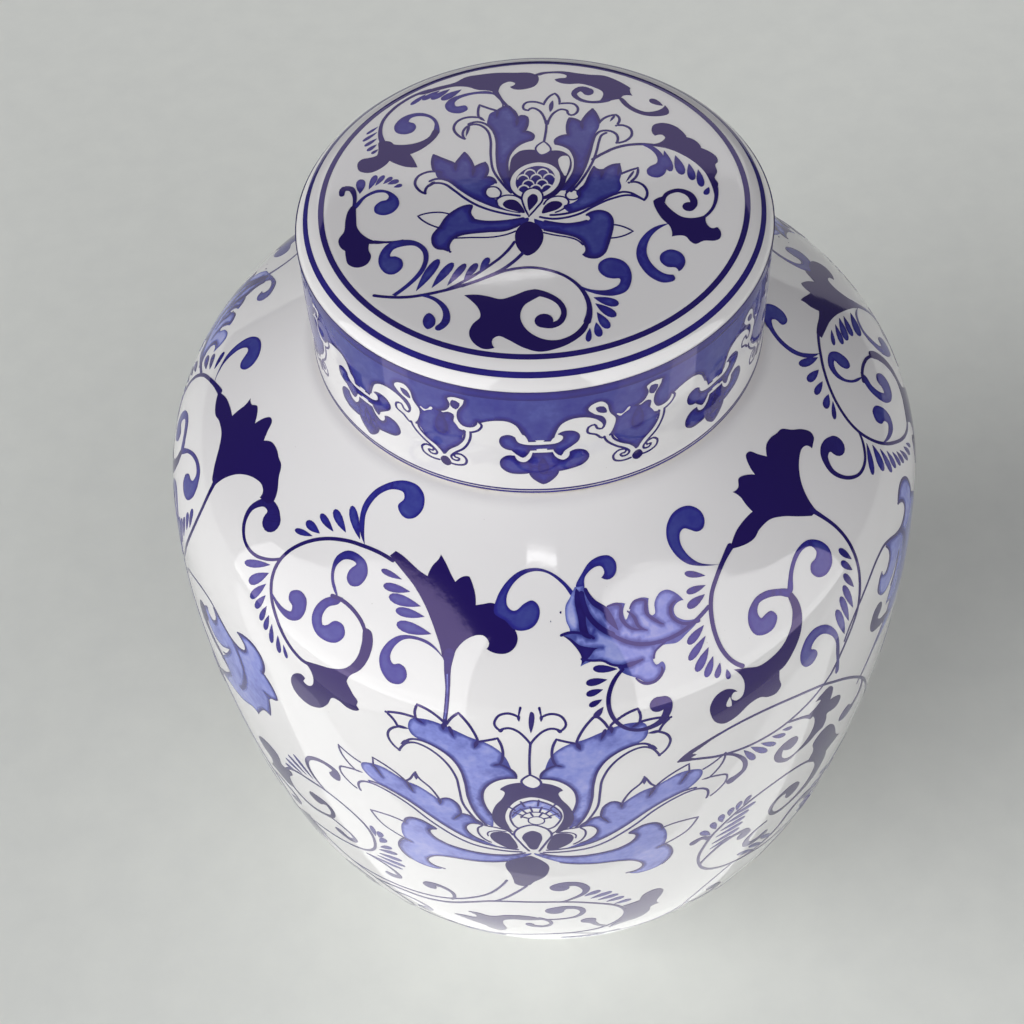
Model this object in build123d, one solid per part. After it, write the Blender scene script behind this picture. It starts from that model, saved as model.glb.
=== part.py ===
"""Porcelain ginger jar with a flat cap lid.

Two fired pieces, each a body of revolution about Z: the jar, whose outside is four tangent arcs
from the foot to a cone at the shoulder, and the cap lid, whose skirt drops over the jar's short
neck and stands on a flat seat around it. Z = 0 is the table, and Z is the axis of both pieces.
Each outline is drawn in the (radius, height) plane and turned once round the axis.
"""

import os
from math import cos, radians, sin, tan

from build123d import *

# ---- Driving dimensions, in millimetres and degrees ----
BELLY_RADIUS = 120.0
BELLY_HEIGHT = 180.0
WALL = 5.5

# Outside of the jar: arcs down and up from the widest circle, as (radius, slope at the far end).
# Slope is the angle between the wall and the vertical.
LOWER_BELLY = (475.0, 11.7)
LOWER_TAPER_RADIUS = 175.0
UPPER_BELLY = (270.0, 6.2)
SHOULDER = (43.0, 55.0)

FOOT_RADIUS = 72.5
FOOT_HEIGHT = 8.0
FOOT_RING_WIDTH = 8.0
FOOT_RECESS = 5.0
FOOT_EDGE = 1.6
FLOOR_THICKNESS = 6.5
FLOOR_FILLET = 18.0

NECK_RADIUS = 59.0
SEAT_HEIGHT = 262.0
NECK_TOP = 283.0
NECK_EDGE = 2.2
SEAT_FILLET = 1.2

# The lid: a skirt that widens a little upwards, under a nearly flat top with a soft edge.
LID_LIP_RADIUS = 67.0
LID_RADIUS = 67.3
LID_TOP = 311.5
LID_WALL = 5.4
LID_CROWN_RADIUS = 3000.0
LID_FLAT_RADIUS = 57.0
LID_BEND = (13.0, 45.0)
LID_LIP_EDGE = 1.4
LID_INSIDE_FILLET = 8.0


def jar_outside(inset):
    """The jar's wall, from its widest circle, as arcs moved in by inset: down, then up."""
    low_radius, low_slope = LOWER_BELLY
    up_radius, up_slope = UPPER_BELLY
    shoulder_radius, shoulder_slope = SHOULDER

    low_centre = (BELLY_RADIUS - low_radius, BELLY_HEIGHT)
    step = low_radius - LOWER_TAPER_RADIUS
    taper_centre = (
        low_centre[0] + step * cos(radians(low_slope)),
        low_centre[1] - step * sin(radians(low_slope)),
    )
    up_centre = (BELLY_RADIUS - up_radius, BELLY_HEIGHT)
    step = up_radius - shoulder_radius
    shoulder_centre = (
        up_centre[0] + step * cos(radians(up_slope)),
        up_centre[1] + step * sin(radians(up_slope)),
    )
    down = [
        CenterArc(low_centre, low_radius - inset, 0, -low_slope),
        CenterArc(taper_centre, LOWER_TAPER_RADIUS - inset, -low_slope, low_slope - 60),
    ]
    up = [
        CenterArc(up_centre, up_radius - inset, 0, up_slope),
        CenterArc(shoulder_centre, shoulder_radius - inset, up_slope, shoulder_slope - up_slope),
    ]
    return down, up


def wall_section(inset, inner_radius, bottom, top):
    """A face from the axis out to the jar's wall at inset, between two heights."""
    down, up = jar_outside(inset)
    slope = radians(SHOULDER[1])
    shoulder_end = up[-1] @ 1
    cone_end = (inner_radius, shoulder_end.Y + (shoulder_end.X - inner_radius) / tan(slope))
    taper_end = down[-1] @ 1
    edges = [
        *up,
        *down,
        Line(shoulder_end, cone_end),
        Polyline(cone_end, (0, cone_end[1]), (0, taper_end.Y), taper_end),
    ]
    band = Pos(0, bottom) * Rectangle(
        2 * BELLY_RADIUS, top - bottom, align=(Align.MIN, Align.MIN)
    )
    return make_face(edges) & band


def block(inner, outer, bottom, top):
    """A rectangle in the (radius, height) plane."""
    return Pos(inner, bottom) * Rectangle(
        outer - inner, top - bottom, align=(Align.MIN, Align.MIN)
    )


def corners(section, radius, height):
    """The section's corner at that radius and height."""
    return section.vertices().filter_by(
        lambda v: abs(v.X - radius) < 1e-3 and abs(v.Y - height) < 1e-3
    )


def jar_section():
    """The jar's outline: wall, foot ring, floor, flat seat and neck."""
    outside = wall_section(0, NECK_RADIUS - WALL, FOOT_HEIGHT, SEAT_HEIGHT)
    outside += block(0, FOOT_RADIUS, 0, FOOT_HEIGHT)
    outside += block(0, NECK_RADIUS, SEAT_HEIGHT - WALL, NECK_TOP)
    outside = fillet(corners(outside, NECK_RADIUS, SEAT_HEIGHT), SEAT_FILLET)

    floor_top = FOOT_RECESS + FLOOR_THICKNESS
    inside = wall_section(WALL, NECK_RADIUS - WALL, floor_top, SEAT_HEIGHT)
    floor_edge = max(
        (v for v in inside.vertices() if abs(v.Y - floor_top) < 1e-3), key=lambda v: v.X
    )
    inside = fillet(floor_edge, FLOOR_FILLET)
    inside += block(0, NECK_RADIUS - WALL, SEAT_HEIGHT - 2 * WALL, NECK_TOP)

    ring_inner = FOOT_RADIUS - FOOT_RING_WIDTH
    section = outside - inside - block(0, ring_inner, 0, FOOT_RECESS)
    for radius, height, size in (
        (NECK_RADIUS, NECK_TOP, NECK_EDGE),
        (NECK_RADIUS - WALL, NECK_TOP, NECK_EDGE),
        (FOOT_RADIUS, 0, FOOT_EDGE),
        (ring_inner, 0, FOOT_EDGE),
        (ring_inner, FOOT_RECESS, FOOT_EDGE),
    ):
        section = fillet(corners(section, radius, height), size)
    return section


def lid_section():
    """The lid's outline: top, soft edge, skirt and rounded lip."""
    crown_centre = (0, LID_TOP - LID_CROWN_RADIUS)
    crown_sweep = LID_FLAT_RADIUS / LID_CROWN_RADIUS * 180 / 3.141592653589793
    crown = CenterArc(crown_centre, LID_CROWN_RADIUS, 90, -crown_sweep)

    bend_radius, bend_end = LID_BEND
    toward = radians(90 - crown_sweep)
    bend_centre = crown @ 1 - Vector(cos(toward), sin(toward)) * bend_radius
    bend = CenterArc(bend_centre, bend_radius, 90 - crown_sweep, bend_end - 90 + crown_sweep)

    bend_out = Vector(cos(radians(bend_end)), sin(radians(bend_end)))
    edge_radius = (LID_RADIUS - (bend @ 1).X) / (1 - bend_out.X)
    edge_centre = bend @ 1 - bend_out * edge_radius
    edge = CenterArc(edge_centre, edge_radius, bend_end, -bend_end)

    skirt_top = edge @ 1
    outside = make_face(
        [
            crown,
            bend,
            edge,
            Polyline(
                skirt_top,
                (LID_LIP_RADIUS, SEAT_HEIGHT),
                (0, SEAT_HEIGHT),
                (0, LID_TOP),
            ),
        ]
    )
    under = LID_TOP - LID_WALL
    inside = make_face(
        Polyline(
            (0, SEAT_HEIGHT),
            (LID_LIP_RADIUS - LID_WALL, SEAT_HEIGHT),
            (LID_RADIUS - LID_WALL, under),
            (0, under),
            close=True,
        )
    )
    inside = fillet(corners(inside, LID_RADIUS - LID_WALL, under), LID_INSIDE_FILLET)
    section = outside - inside
    for radius in (LID_LIP_RADIUS, LID_LIP_RADIUS - LID_WALL):
        section = fillet(corners(section, radius, SEAT_HEIGHT), LID_LIP_EDGE)
    return section


def turned(section):
    """The solid that a section makes when turned once round Z."""
    return revolve(Plane.XZ * section, Axis.Z, 360)


os.makedirs("parts", exist_ok=True)
for name, section in {"jar_body": jar_section(), "lid": lid_section()}.items():
    export_step(turned(section), f"parts/{name}.step")
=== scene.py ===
"""Blue-and-white ginger jar: the looks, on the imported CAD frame.

The jar and its lid are lathe meshes on the CAD's outline. The painting is geometry too: every
motif is a thin closed film of cobalt that follows the surface. A motif is drawn in a flat chart
in millimetres, as outlines and strokes in the order they were painted, then meshed and laid on
the porcelain.
"""

from math import atan2, ceil, cos, degrees, hypot, pi, radians, sin, sqrt

import bmesh
import bpy
import numpy as np
from mathutils import Matrix, Vector, kdtree
from mathutils.geometry import delaunay_2d_cdt


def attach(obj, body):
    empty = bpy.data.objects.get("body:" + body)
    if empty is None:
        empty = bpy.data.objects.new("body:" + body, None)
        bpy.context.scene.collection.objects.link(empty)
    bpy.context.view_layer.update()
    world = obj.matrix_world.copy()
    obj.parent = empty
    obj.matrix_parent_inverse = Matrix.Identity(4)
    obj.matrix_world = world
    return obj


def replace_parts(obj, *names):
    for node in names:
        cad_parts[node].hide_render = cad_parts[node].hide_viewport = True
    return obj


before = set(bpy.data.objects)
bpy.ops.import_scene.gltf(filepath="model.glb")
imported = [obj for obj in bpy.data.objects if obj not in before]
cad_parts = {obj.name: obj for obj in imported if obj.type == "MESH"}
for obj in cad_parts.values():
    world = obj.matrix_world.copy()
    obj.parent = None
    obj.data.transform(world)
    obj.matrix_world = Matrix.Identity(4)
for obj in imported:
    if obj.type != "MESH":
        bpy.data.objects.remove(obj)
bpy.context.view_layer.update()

MM = 0.001

# Tones of the cobalt, from a thin wash to a full stroke. PAPER takes paint away.
PAPER = 0.0
PALE = 0.14
MID = 0.31
WASH = 0.37
DEEP = 0.56
SKIRT_WASH = 0.585
CURL = 0.59
BAND = 0.64
RIB = 0.69
LINE = 0.76
STEM = 0.80
SEED = 0.93
LEAF = 0.95

# ---- The outline of each piece, in millimetres ----
BELLY_RADIUS = 120.0
BELLY_HEIGHT = 180.0
LOW_ARC, LOW_SLOPE = 475.0, radians(11.7)  # below the widest circle, and its normal's dip where it ends
TAPER_ARC = 175.0  # from there down to the foot
UP_ARC, UP_SLOPE = 270.0, radians(6.2)  # above the widest circle, and its normal's rise where it ends
SHOULDER_ARC, SHOULDER_SLOPE = 43.0, radians(55)
CONE_LENGTH = 38.8  # the straight run from the shoulder in to the seat
WALL = 5.5
FOOT_RADIUS = 72.5
FOOT_HEIGHT = 8
FOOT_RING_WIDTH = 8
FOOT_RECESS = 5.0
FOOT_EDGE = 1.6
FLOOR_TOP = 11.5
FLOOR_FILLET = 17
SEAT_HEIGHT = 262.0
SEAT_FILLET = 1.2
NECK_RADIUS = 59.0
NECK_TOP = 283.0
NECK_EDGE = 2.2
LID_TOP = 311.5
LID_RADIUS = 67.3
LIP_RADIUS = 67.0
SKIRT_HEIGHT = 42
SKIRT_SLOPE = -0.007
LID_WALL = 5.4
LID_EDGE = 1.4
LID_FILLET = 8
CROWN_ARC = 3000.0
CROWN_RADIUS = 57.0
BEND_ARC, BEND_END = 13.0, radians(45)

# ---- The paint's own measures, in millimetres ----
CURVE_STEP = 0.9  # between the points of a drawn curve
GRAIN = 1.5  # between the points that fill a motif's mesh
ROW_STEP = 0.866  # of the grain, between the rows of that filling
CLEARANCE = 0.45  # of the grain, from that filling to the outlines' own points
WELD = 0.004  # nearer points of a motif are one
PAINT_LIFT = 0.06  # of the lowest film above the porcelain
LIFT_STEP = 0.012  # between films that may cross
LIFT_LEVELS = 5  # of lift, taken in turn
PAINT_DEPTH = 0.1  # of a film's underside below the surface
SKIRT_TOP = 44  # where the skirt's chart is as wide as the lid
SKIRT_REPEATS = 8  # of the border, round the skirt
SKIRT_STEP = 2 * pi * LIP_RADIUS / SKIRT_REPEATS
SKIRT_START = -12.0  # of the border's first repeat
SKIRT_STRAY = 1.9  # how far the border strays, ahead on one side and behind on the other
LOTUS_MIDDLE = -7.5  # the large flower's middle line, along its chart


def on_arc(centre, radius, slope):
    """Radius, height and normal slope of a point on an arc, where slope is the normal's rise."""
    return centre[0] + radius * cos(slope), centre[1] + radius * sin(slope), slope


def body_outline(v):
    """The jar's wall, v mm along it upwards from the widest circle."""
    if v < 0:
        centre = (BELLY_RADIUS - LOW_ARC, BELLY_HEIGHT)
        if v > -LOW_ARC * LOW_SLOPE:
            return on_arc(centre, LOW_ARC, v / LOW_ARC)
        step = LOW_ARC - TAPER_ARC
        taper = (centre[0] + step * cos(LOW_SLOPE), centre[1] - step * sin(LOW_SLOPE))
        return on_arc(taper, TAPER_ARC, -LOW_SLOPE + (v + LOW_ARC * LOW_SLOPE) / TAPER_ARC)
    centre = (BELLY_RADIUS - UP_ARC, BELLY_HEIGHT)
    if v < UP_ARC * UP_SLOPE:
        return on_arc(centre, UP_ARC, v / UP_ARC)
    step = UP_ARC - SHOULDER_ARC
    shoulder = (centre[0] + step * cos(UP_SLOPE), centre[1] + step * sin(UP_SLOPE))
    slope = UP_SLOPE + (v - UP_ARC * UP_SLOPE) / SHOULDER_ARC
    if slope < SHOULDER_SLOPE:
        return on_arc(shoulder, SHOULDER_ARC, slope)
    radius, height, _ = on_arc(shoulder, SHOULDER_ARC, SHOULDER_SLOPE)
    past = (slope - SHOULDER_SLOPE) * SHOULDER_ARC
    return radius - past * sin(SHOULDER_SLOPE), height + past * cos(SHOULDER_SLOPE), SHOULDER_SLOPE


def lid_outline(radius):
    """The lid's top at a distance from its middle: radius, height and normal slope."""
    if radius < CROWN_RADIUS:
        lean = radius / CROWN_ARC
        return radius, LID_TOP - CROWN_ARC * (1 - cos(lean)), pi / 2 - lean
    lean = CROWN_RADIUS / CROWN_ARC
    height = LID_TOP - CROWN_ARC * (1 - cos(lean))
    bend = (CROWN_RADIUS - BEND_ARC * sin(lean), height - BEND_ARC * cos(lean))
    bend_edge = bend[0] + BEND_ARC * cos(BEND_END)
    if radius < bend_edge:
        slope = pi / 2 - atan2(radius - bend[0], sqrt(BEND_ARC**2 - (radius - bend[0]) ** 2))
        return on_arc(bend, BEND_ARC, slope)
    edge_arc = (LID_RADIUS - bend_edge) / (1 - cos(BEND_END))
    edge = (LID_RADIUS - edge_arc, bend[1] + (BEND_ARC - edge_arc) * sin(BEND_END))
    across = min(radius - edge[0], edge_arc)
    return on_arc(edge, edge_arc, atan2(sqrt(edge_arc**2 - across**2), across))


def skirt_outline(v):
    """The lid's skirt, v mm above its lip: radius, height and normal slope."""
    return LIP_RADIUS + (LID_RADIUS - LIP_RADIUS) * v / SKIRT_TOP, SEAT_HEIGHT + v, SKIRT_SLOPE


def turned(radius, height, slope, around, lift=0.0):
    """A point of an outline turned round the axis, lifted off the surface; around is 0 at -Y."""
    out = radius + lift * cos(slope)
    return Vector((out * sin(around), -out * cos(around), height + lift * sin(slope))) * MM


def facing(slope, around):
    """The outward normal of that point."""
    return Vector((cos(slope) * sin(around), -cos(slope) * cos(around), sin(slope)))


class Chart:
    """A flat drawing surface and the way it is laid on the porcelain; seams are where copies meet."""

    def __init__(self, kind, seams=()):
        self.kind = kind
        self.seams = seams

    def squeeze(self, v):
        """How much shorter a sideways millimetre of the chart is on the surface at height v."""
        return body_outline(v)[0] / BELLY_RADIUS if self.kind == "body" else 1.0

    def place(self, u, v):
        """Outline point and angle round the axis of the chart's point."""
        if self.kind == "body":
            return body_outline(v), u / BELLY_RADIUS
        if self.kind == "skirt":
            stray = SKIRT_STRAY * sin(u / LIP_RADIUS)
            return skirt_outline(v), (u + stray) / LIP_RADIUS
        return lid_outline(hypot(u, v)), atan2(u, -v)


# ---- Drawing: smooth outlines and strokes ----
def through(points, closed):
    """A smooth path through the points; a third value of 1 marks a sharp corner."""
    flags = [len(p) > 2 and p[2] == 1 for p in points]
    places = [Vector((p[0], p[1])) for p in points]
    count = len(places)
    if not closed:
        return bend_run(places, flags)
    if True not in flags:
        wrapped = places[-2:] + places + places[:3]
        path = bend_run(wrapped, [False] * len(wrapped), skip=2)
        return path[:-1]
    first = flags.index(True)
    order = [(first + k) % count for k in range(count + 1)]
    return bend_run([places[k] for k in order], [flags[k] for k in order])[:-1]


def bend_run(places, flags, skip=0):
    """Splits a path at its corners and rounds each run between them."""
    path = []
    start = 0
    last = len(places) - 1
    for k in range(1, last + 1):
        if flags[k] or k == last:
            skip_start = skip if start == 0 else 0
            skip_end = skip if k == last else 0
            path += round_run(places[start : k + 1], skip_start, skip_end)[:-1]
            start = k
    return path + [places[last - skip]]


def round_run(run, skip_start, skip_end):
    """A Catmull-Rom curve through one run, with its points about CURVE_STEP apart."""
    if len(run) < 3:
        return list(run)
    knots = [0.0]
    for a, b in zip(run, run[1:]):
        knots.append(knots[-1] + max((b - a).length, 1e-6) ** 0.5)
    slopes = []
    for k in range(len(run)):
        if 0 < k < len(run) - 1:
            before, after = knots[k] - knots[k - 1], knots[k + 1] - knots[k]
            ahead, behind = (run[k + 1] - run[k]) / after, (run[k] - run[k - 1]) / before
            slopes.append((ahead * before + behind * after) / (before + after))
        else:
            slopes.append(None)
    first, last = knots[1] - knots[0], knots[-1] - knots[-2]
    slopes[0] = 2 * (run[1] - run[0]) / first - slopes[1]
    slopes[-1] = 2 * (run[-1] - run[-2]) / last - slopes[-2]
    path = []
    for k in range(skip_start, len(run) - 1 - skip_end):
        span = knots[k + 1] - knots[k]
        pieces = max(2, ceil((run[k + 1] - run[k]).length / CURVE_STEP))
        for n in range(pieces):
            t = n / pieces
            path.append(
                run[k] * (1 + 2 * t) * (1 - t) ** 2
                + slopes[k] * span * t * (1 - t) ** 2
                + run[k + 1] * t * t * (3 - 2 * t)
                + slopes[k + 1] * span * t * t * (t - 1)
            )
    return path + [run[len(run) - 1 - skip_end]]


class Art:
    """A motif: painted shapes in order, each a tone and a closed outline, and rings round the axis."""

    def __init__(self, chart):
        self.chart = chart
        self.shapes = []
        self.bands = []

    def add(self, tone, outline):
        """Keeps an outline, turned anticlockwise."""
        turn = sum(a[0] * b[1] - b[0] * a[1] for a, b in zip(outline, outline[1:] + outline[:1]))
        if abs(turn) > 1e-4:
            self.shapes.append((tone, outline if turn > 0 else outline[::-1]))

    def fill(self, tone, *points):
        """A filled shape."""
        self.add(tone, [tuple(p) for p in through(points, closed=True)])

    def line(self, tone, width, *points):
        """An open stroke of one width."""
        self.stroke(tone, [(p, width) for p in through(points, closed=False)], False)

    def loop(self, tone, width, *points):
        """A closed stroke of one width."""
        self.stroke(tone, [(p, width) for p in through(points, closed=True)], True)

    def edged(self, tone, width, *points):
        """A filled shape with a dark line of one width round it."""
        self.fill(tone, *points)
        self.loop(LINE, width, *points)

    def swell(self, tone, *points):
        """A stroke whose width changes along it; the third value of a point is its width."""
        places = [(p[0], p[1]) for p in points]
        middle = bend_run([Vector(p) for p in places], [False] * len(places))
        walked, marks, near = [0.0], [], 0
        for a, b in zip(middle, middle[1:]):
            walked.append(walked[-1] + (b - a).length)
        for p in places:
            near = min(range(near, len(middle)), key=lambda k: (middle[k] - Vector(p)).length)
            marks.append(walked[near])
        strokes = []
        for place, far in zip(middle, walked):
            k = max(n for n in range(len(marks)) if marks[n] <= far + 1e-9)
            k = min(k, len(marks) - 2)
            t = (far - marks[k]) / max(marks[k + 1] - marks[k], 1e-6)
            width = points[k][2] + (points[k + 1][2] - points[k][2]) * min(t, 1)
            strokes.append((place, width))
        self.stroke(tone, strokes, False)

    def drops(self, tone, *drops, sides=16, plump=0.65):
        """Single touches of the brush, each from a pointed tail to a round head."""
        for tail_u, tail_v, head_u, head_v, width in drops:
            squeeze = self.chart.squeeze(tail_v)
            along = Vector(((head_u - tail_u) * squeeze, head_v - tail_v)) / 2
            across = Vector((-along.y, along.x)).normalized() * width * plump
            outline = []
            for k in range(sides):
                turn = 2 * pi * (k + 0.5) / sides
                spot = along * (1 - cos(turn)) + across * sin(turn) * abs(sin(turn / 2))
                outline.append((tail_u + spot.x / squeeze, tail_v + spot.y))
            self.add(tone, outline)

    def stroke(self, tone, middle, closed, sharp_turn=0.5):
        """The shapes that cover a brush stroke: its spans, and a dot where it turns sharply."""
        spots = [Vector((p[0], p[1])) for p, _ in middle]
        widths = [w for _, w in middle]
        count = len(spots)
        squeeze = [self.chart.squeeze(p.y) for p in spots]
        sides, sharp = [], []
        for k, spot in enumerate(spots):
            before = spots[k - 1] if (k or closed) else spot
            after = spots[(k + 1) % count] if (k < count - 1 or closed) else spot
            come = Vector(((spot.x - before.x) * squeeze[k], spot.y - before.y))
            go = Vector(((after.x - spot.x) * squeeze[k], after.y - spot.y))
            ahead = (come.normalized() + go.normalized()).normalized()
            is_end = come.length == 0 or go.length == 0
            sharp.append(is_end or come.angle(go, 0) > sharp_turn)
            sides.append(Vector((-ahead.y, ahead.x)) * widths[k] / 2)
        for k in range(count if closed else count - 1):
            n = (k + 1) % count
            quad = []
            for at, way in ((k, -1), (n, -1), (n, 1), (k, 1)):
                side = sides[at] * way
                quad.append((spots[at].x + side.x / squeeze[at], spots[at].y + side.y))
            if sound(quad):
                self.add(tone, quad)
            else:
                self.dot(tone, spots[k], widths[k], squeeze[k])
                self.dot(tone, spots[n], widths[n], squeeze[n])
        for k in range(count):
            if sharp[k]:
                self.dot(tone, spots[k], widths[k], squeeze[k])

    def dot(self, tone, spot, width, squeeze):
        """A round touch of the brush."""
        sides = 8 if width < 1.5 else 16
        turns = [2 * pi * k / sides for k in range(sides)]
        reach = width / 2
        self.add(tone, [(spot.x + cos(a) * reach / squeeze, spot.y + sin(a) * reach) for a in turns])

    def band(self, tone, low, high):
        """A ring all the way round the axis between two places on the outline."""
        self.bands.append((tone, low, high))


def sound(quad):
    """True if the quadrilateral is convex and anticlockwise."""
    for k in range(4):
        a, b, c = quad[k - 2], quad[k - 1], quad[k]
        if (b[0] - a[0]) * (c[1] - b[1]) - (b[1] - a[1]) * (c[0] - b[0]) <= 0:
            return False
    return True


# ---- Meshing a motif ----
def wound_round(outline, spots):
    """Which of the spots lie inside an outline, by how often it winds round them."""
    turns = np.zeros(len(spots), dtype=int)
    corners = np.array(outline)
    for a, b in zip(corners, np.roll(corners, -1, axis=0)):
        left = (b[0] - a[0]) * (spots[:, 1] - a[1]) - (spots[:, 0] - a[0]) * (b[1] - a[1])
        up = (a[1] <= spots[:, 1]) & (b[1] > spots[:, 1]) & (left > 0)
        down = (a[1] > spots[:, 1]) & (b[1] <= spots[:, 1]) & (left < 0)
        turns += up.astype(int) - down.astype(int)
    return turns != 0


def topmost_tones(shapes, spots):
    """The tone that ends up on each spot when the shapes are painted in order."""
    order = np.argsort(spots[:, 0])
    along = spots[order]
    tones = np.zeros(len(spots))
    for tone, outline in shapes:
        low, high = np.min(outline, axis=0), np.max(outline, axis=0)
        first, last = np.searchsorted(along[:, 0], (low[0], high[0]))
        near = np.arange(first, last)
        near = near[(along[near, 1] >= low[1]) & (along[near, 1] <= high[1])]
        if len(near):
            tones[order[near[wound_round(outline, along[near])]]] = tone
    return tones


def nearest(places):
    """A finder of the nearest of some (number, point) places."""
    places = list(places)
    tree = kdtree.KDTree(len(places))
    for k, p in places:
        tree.insert((p.x, p.y, 0), k)
    tree.balance()
    return tree


def filling(points):
    """Points of an even grid over the shapes, away from the outlines' own points."""
    low_u, high_u = min(p.x for p in points), max(p.x for p in points)
    low_v, high_v = min(p.y for p in points), max(p.y for p in points)
    near = nearest(enumerate(points))
    found = []
    for row in range(int((high_v - low_v) / (GRAIN * ROW_STEP)) + 1):
        for column in range(int((high_u - low_u) / GRAIN) + 1):
            spot = (low_u + (column + 0.5 * (row % 2)) * GRAIN, low_v + row * GRAIN * ROW_STEP, 0)
            if near.find(spot)[2] > GRAIN * CLEARANCE:
                found.append(Vector(spot[:2]))
    return found


def rim_points(triangles, tones, places, seams):
    """The points where a tone ends, except where one copy of a motif joins the next."""
    sides = {}
    for triangle, tone in zip(triangles, tones):
        for a, b in zip(triangle, triangle[1:] + triangle[:1]):
            sides.setdefault((min(a, b), max(a, b)), []).append(tone)
    rim = set()
    for pair, found in sides.items():
        joins = any(all(abs(places[k].x - seam) < 0.01 for k in pair) for seam in seams)
        if not joins and (len(found) == 1 or found[0] != found[1]):
            rim.update(pair)
    return rim


def meshed(art):
    """Triangles of a motif's paint: chart points, triangles, their tones and each point's rim distance."""
    points, edges = [], []
    for _, outline in art.shapes:
        first, size = len(points), len(outline)
        edges += [(first + k, first + (k + 1) % size) for k in range(size)]
        points += [Vector(p) for p in outline]
    points += filling(points)
    places, _, faces, _, _, _ = delaunay_2d_cdt(points, edges, [], 0, WELD, False)
    flat = np.array([tuple(p) for p in places])
    corners = np.array([tuple(face) for face in faces])
    all_tones = topmost_tones(art.shapes, flat[corners].mean(axis=1))
    triangles, tones = [], []
    for face, tone in zip(faces, all_tones):
        if tone != PAPER:
            triangles.append(tuple(face))
            tones.append(float(tone))
    rim = rim_points(triangles, tones, places, art.chart.seams)
    edge = nearest((k, places[k]) for k in sorted(rim))
    depth = [0.0 if k in rim else edge.find((p.x, p.y, 0))[2] for k, p in enumerate(places)]
    return places, triangles, tones, depth


# ---- Motifs ----
def lotus_upper_petal(art):
    """The large flower's upper left petal: its wash, the lines of its white rib, its cut edge."""
    art.fill(WASH, (-19, -12, 1), (-21.5, -10), (-24.2, -3), (-25.8, 5), (-26.3, 14), (-27.6, 20),
             (-30, 24.3), (-34, 27.6), (-38.5, 29), (-41.5, 30.6), (-42.7, 33.5), (-41.8, 37),
             (-38, 38.2), (-33, 37.8), (-28.5, 36.3), (-24, 34.5), (-20, 33.3), (-17, 31.5), (-14.8, 29),
             (-13.4, 26), (-12.4, 22), (-11.2, 17.4, 1), (-15.5, 16.4), (-18.6, 13.8), (-20.9, 9.5),
             (-21.4, 4), (-20.6, -1), (-19, -5))
    art.line(LINE, 0.8, (-22.5, -12), (-25.4, -6), (-27.5, 0), (-28.2, 8), (-28.8, 14), (-31, 20),
             (-34, 24), (-37.8, 26.6), (-41, 27.1), (-43.6, 25.6), (-45.2, 23), (-46, 21))
    art.line(LINE, 0.85, (-21, -11.5), (-24.1, -4), (-25.7, 4), (-26.3, 13), (-27.6, 19.5), (-30.2, 24.2),
             (-34.4, 27.6), (-38.8, 29), (-41.8, 28.4), (-43.6, 26.4))
    art.line(LINE, 0.85, (-45.8, 21.2), (-48.3, 23.7), (-49.3, 27), (-48.4, 30), (-46, 32.2, 1),
             (-47, 34.4), (-49.8, 36.7, 1), (-45, 37.9), (-40.3, 37.8, 1), (-40.8, 40), (-40.2, 42.6, 1),
             (-36, 41.4), (-32, 38.8, 1), (-31.2, 37.4, 1), (-29.8, 40.4), (-27.6, 42.7, 1),
             (-24.8, 39.8), (-22.8, 36.5), (-21.6, 33.2, 1), (-18.8, 34.2), (-16, 35.3, 1), (-14.8, 32),
             (-14.6, 27.5), (-15.6, 23.7, 1), (-13.2, 22.2), (-11.4, 19.8), (-11.1, 17.3, 1),
             (-15.4, 16.4), (-18.6, 13.8), (-20.8, 9.8), (-21.4, 4.5), (-20.6, -0.5), (-19.2, -4.5))
    art.drops(LINE, (-37.8, 36.4, -40.4, 37.8, 1.0), (-42.4, 32.8, -46.2, 32.5, 1.2),
              (-32, 35.6, -32, 38.2, 1.3), (-28.8, 33.6, -30.3, 37.6, 1.2),
              (-22.8, 30.2, -21.9, 33.4, 1.3), (-17.6, 22.9, -15.6, 23.8, 0.9),
              (-45.4, 24.4, -42.6, 27.2, 1.7))


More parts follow.
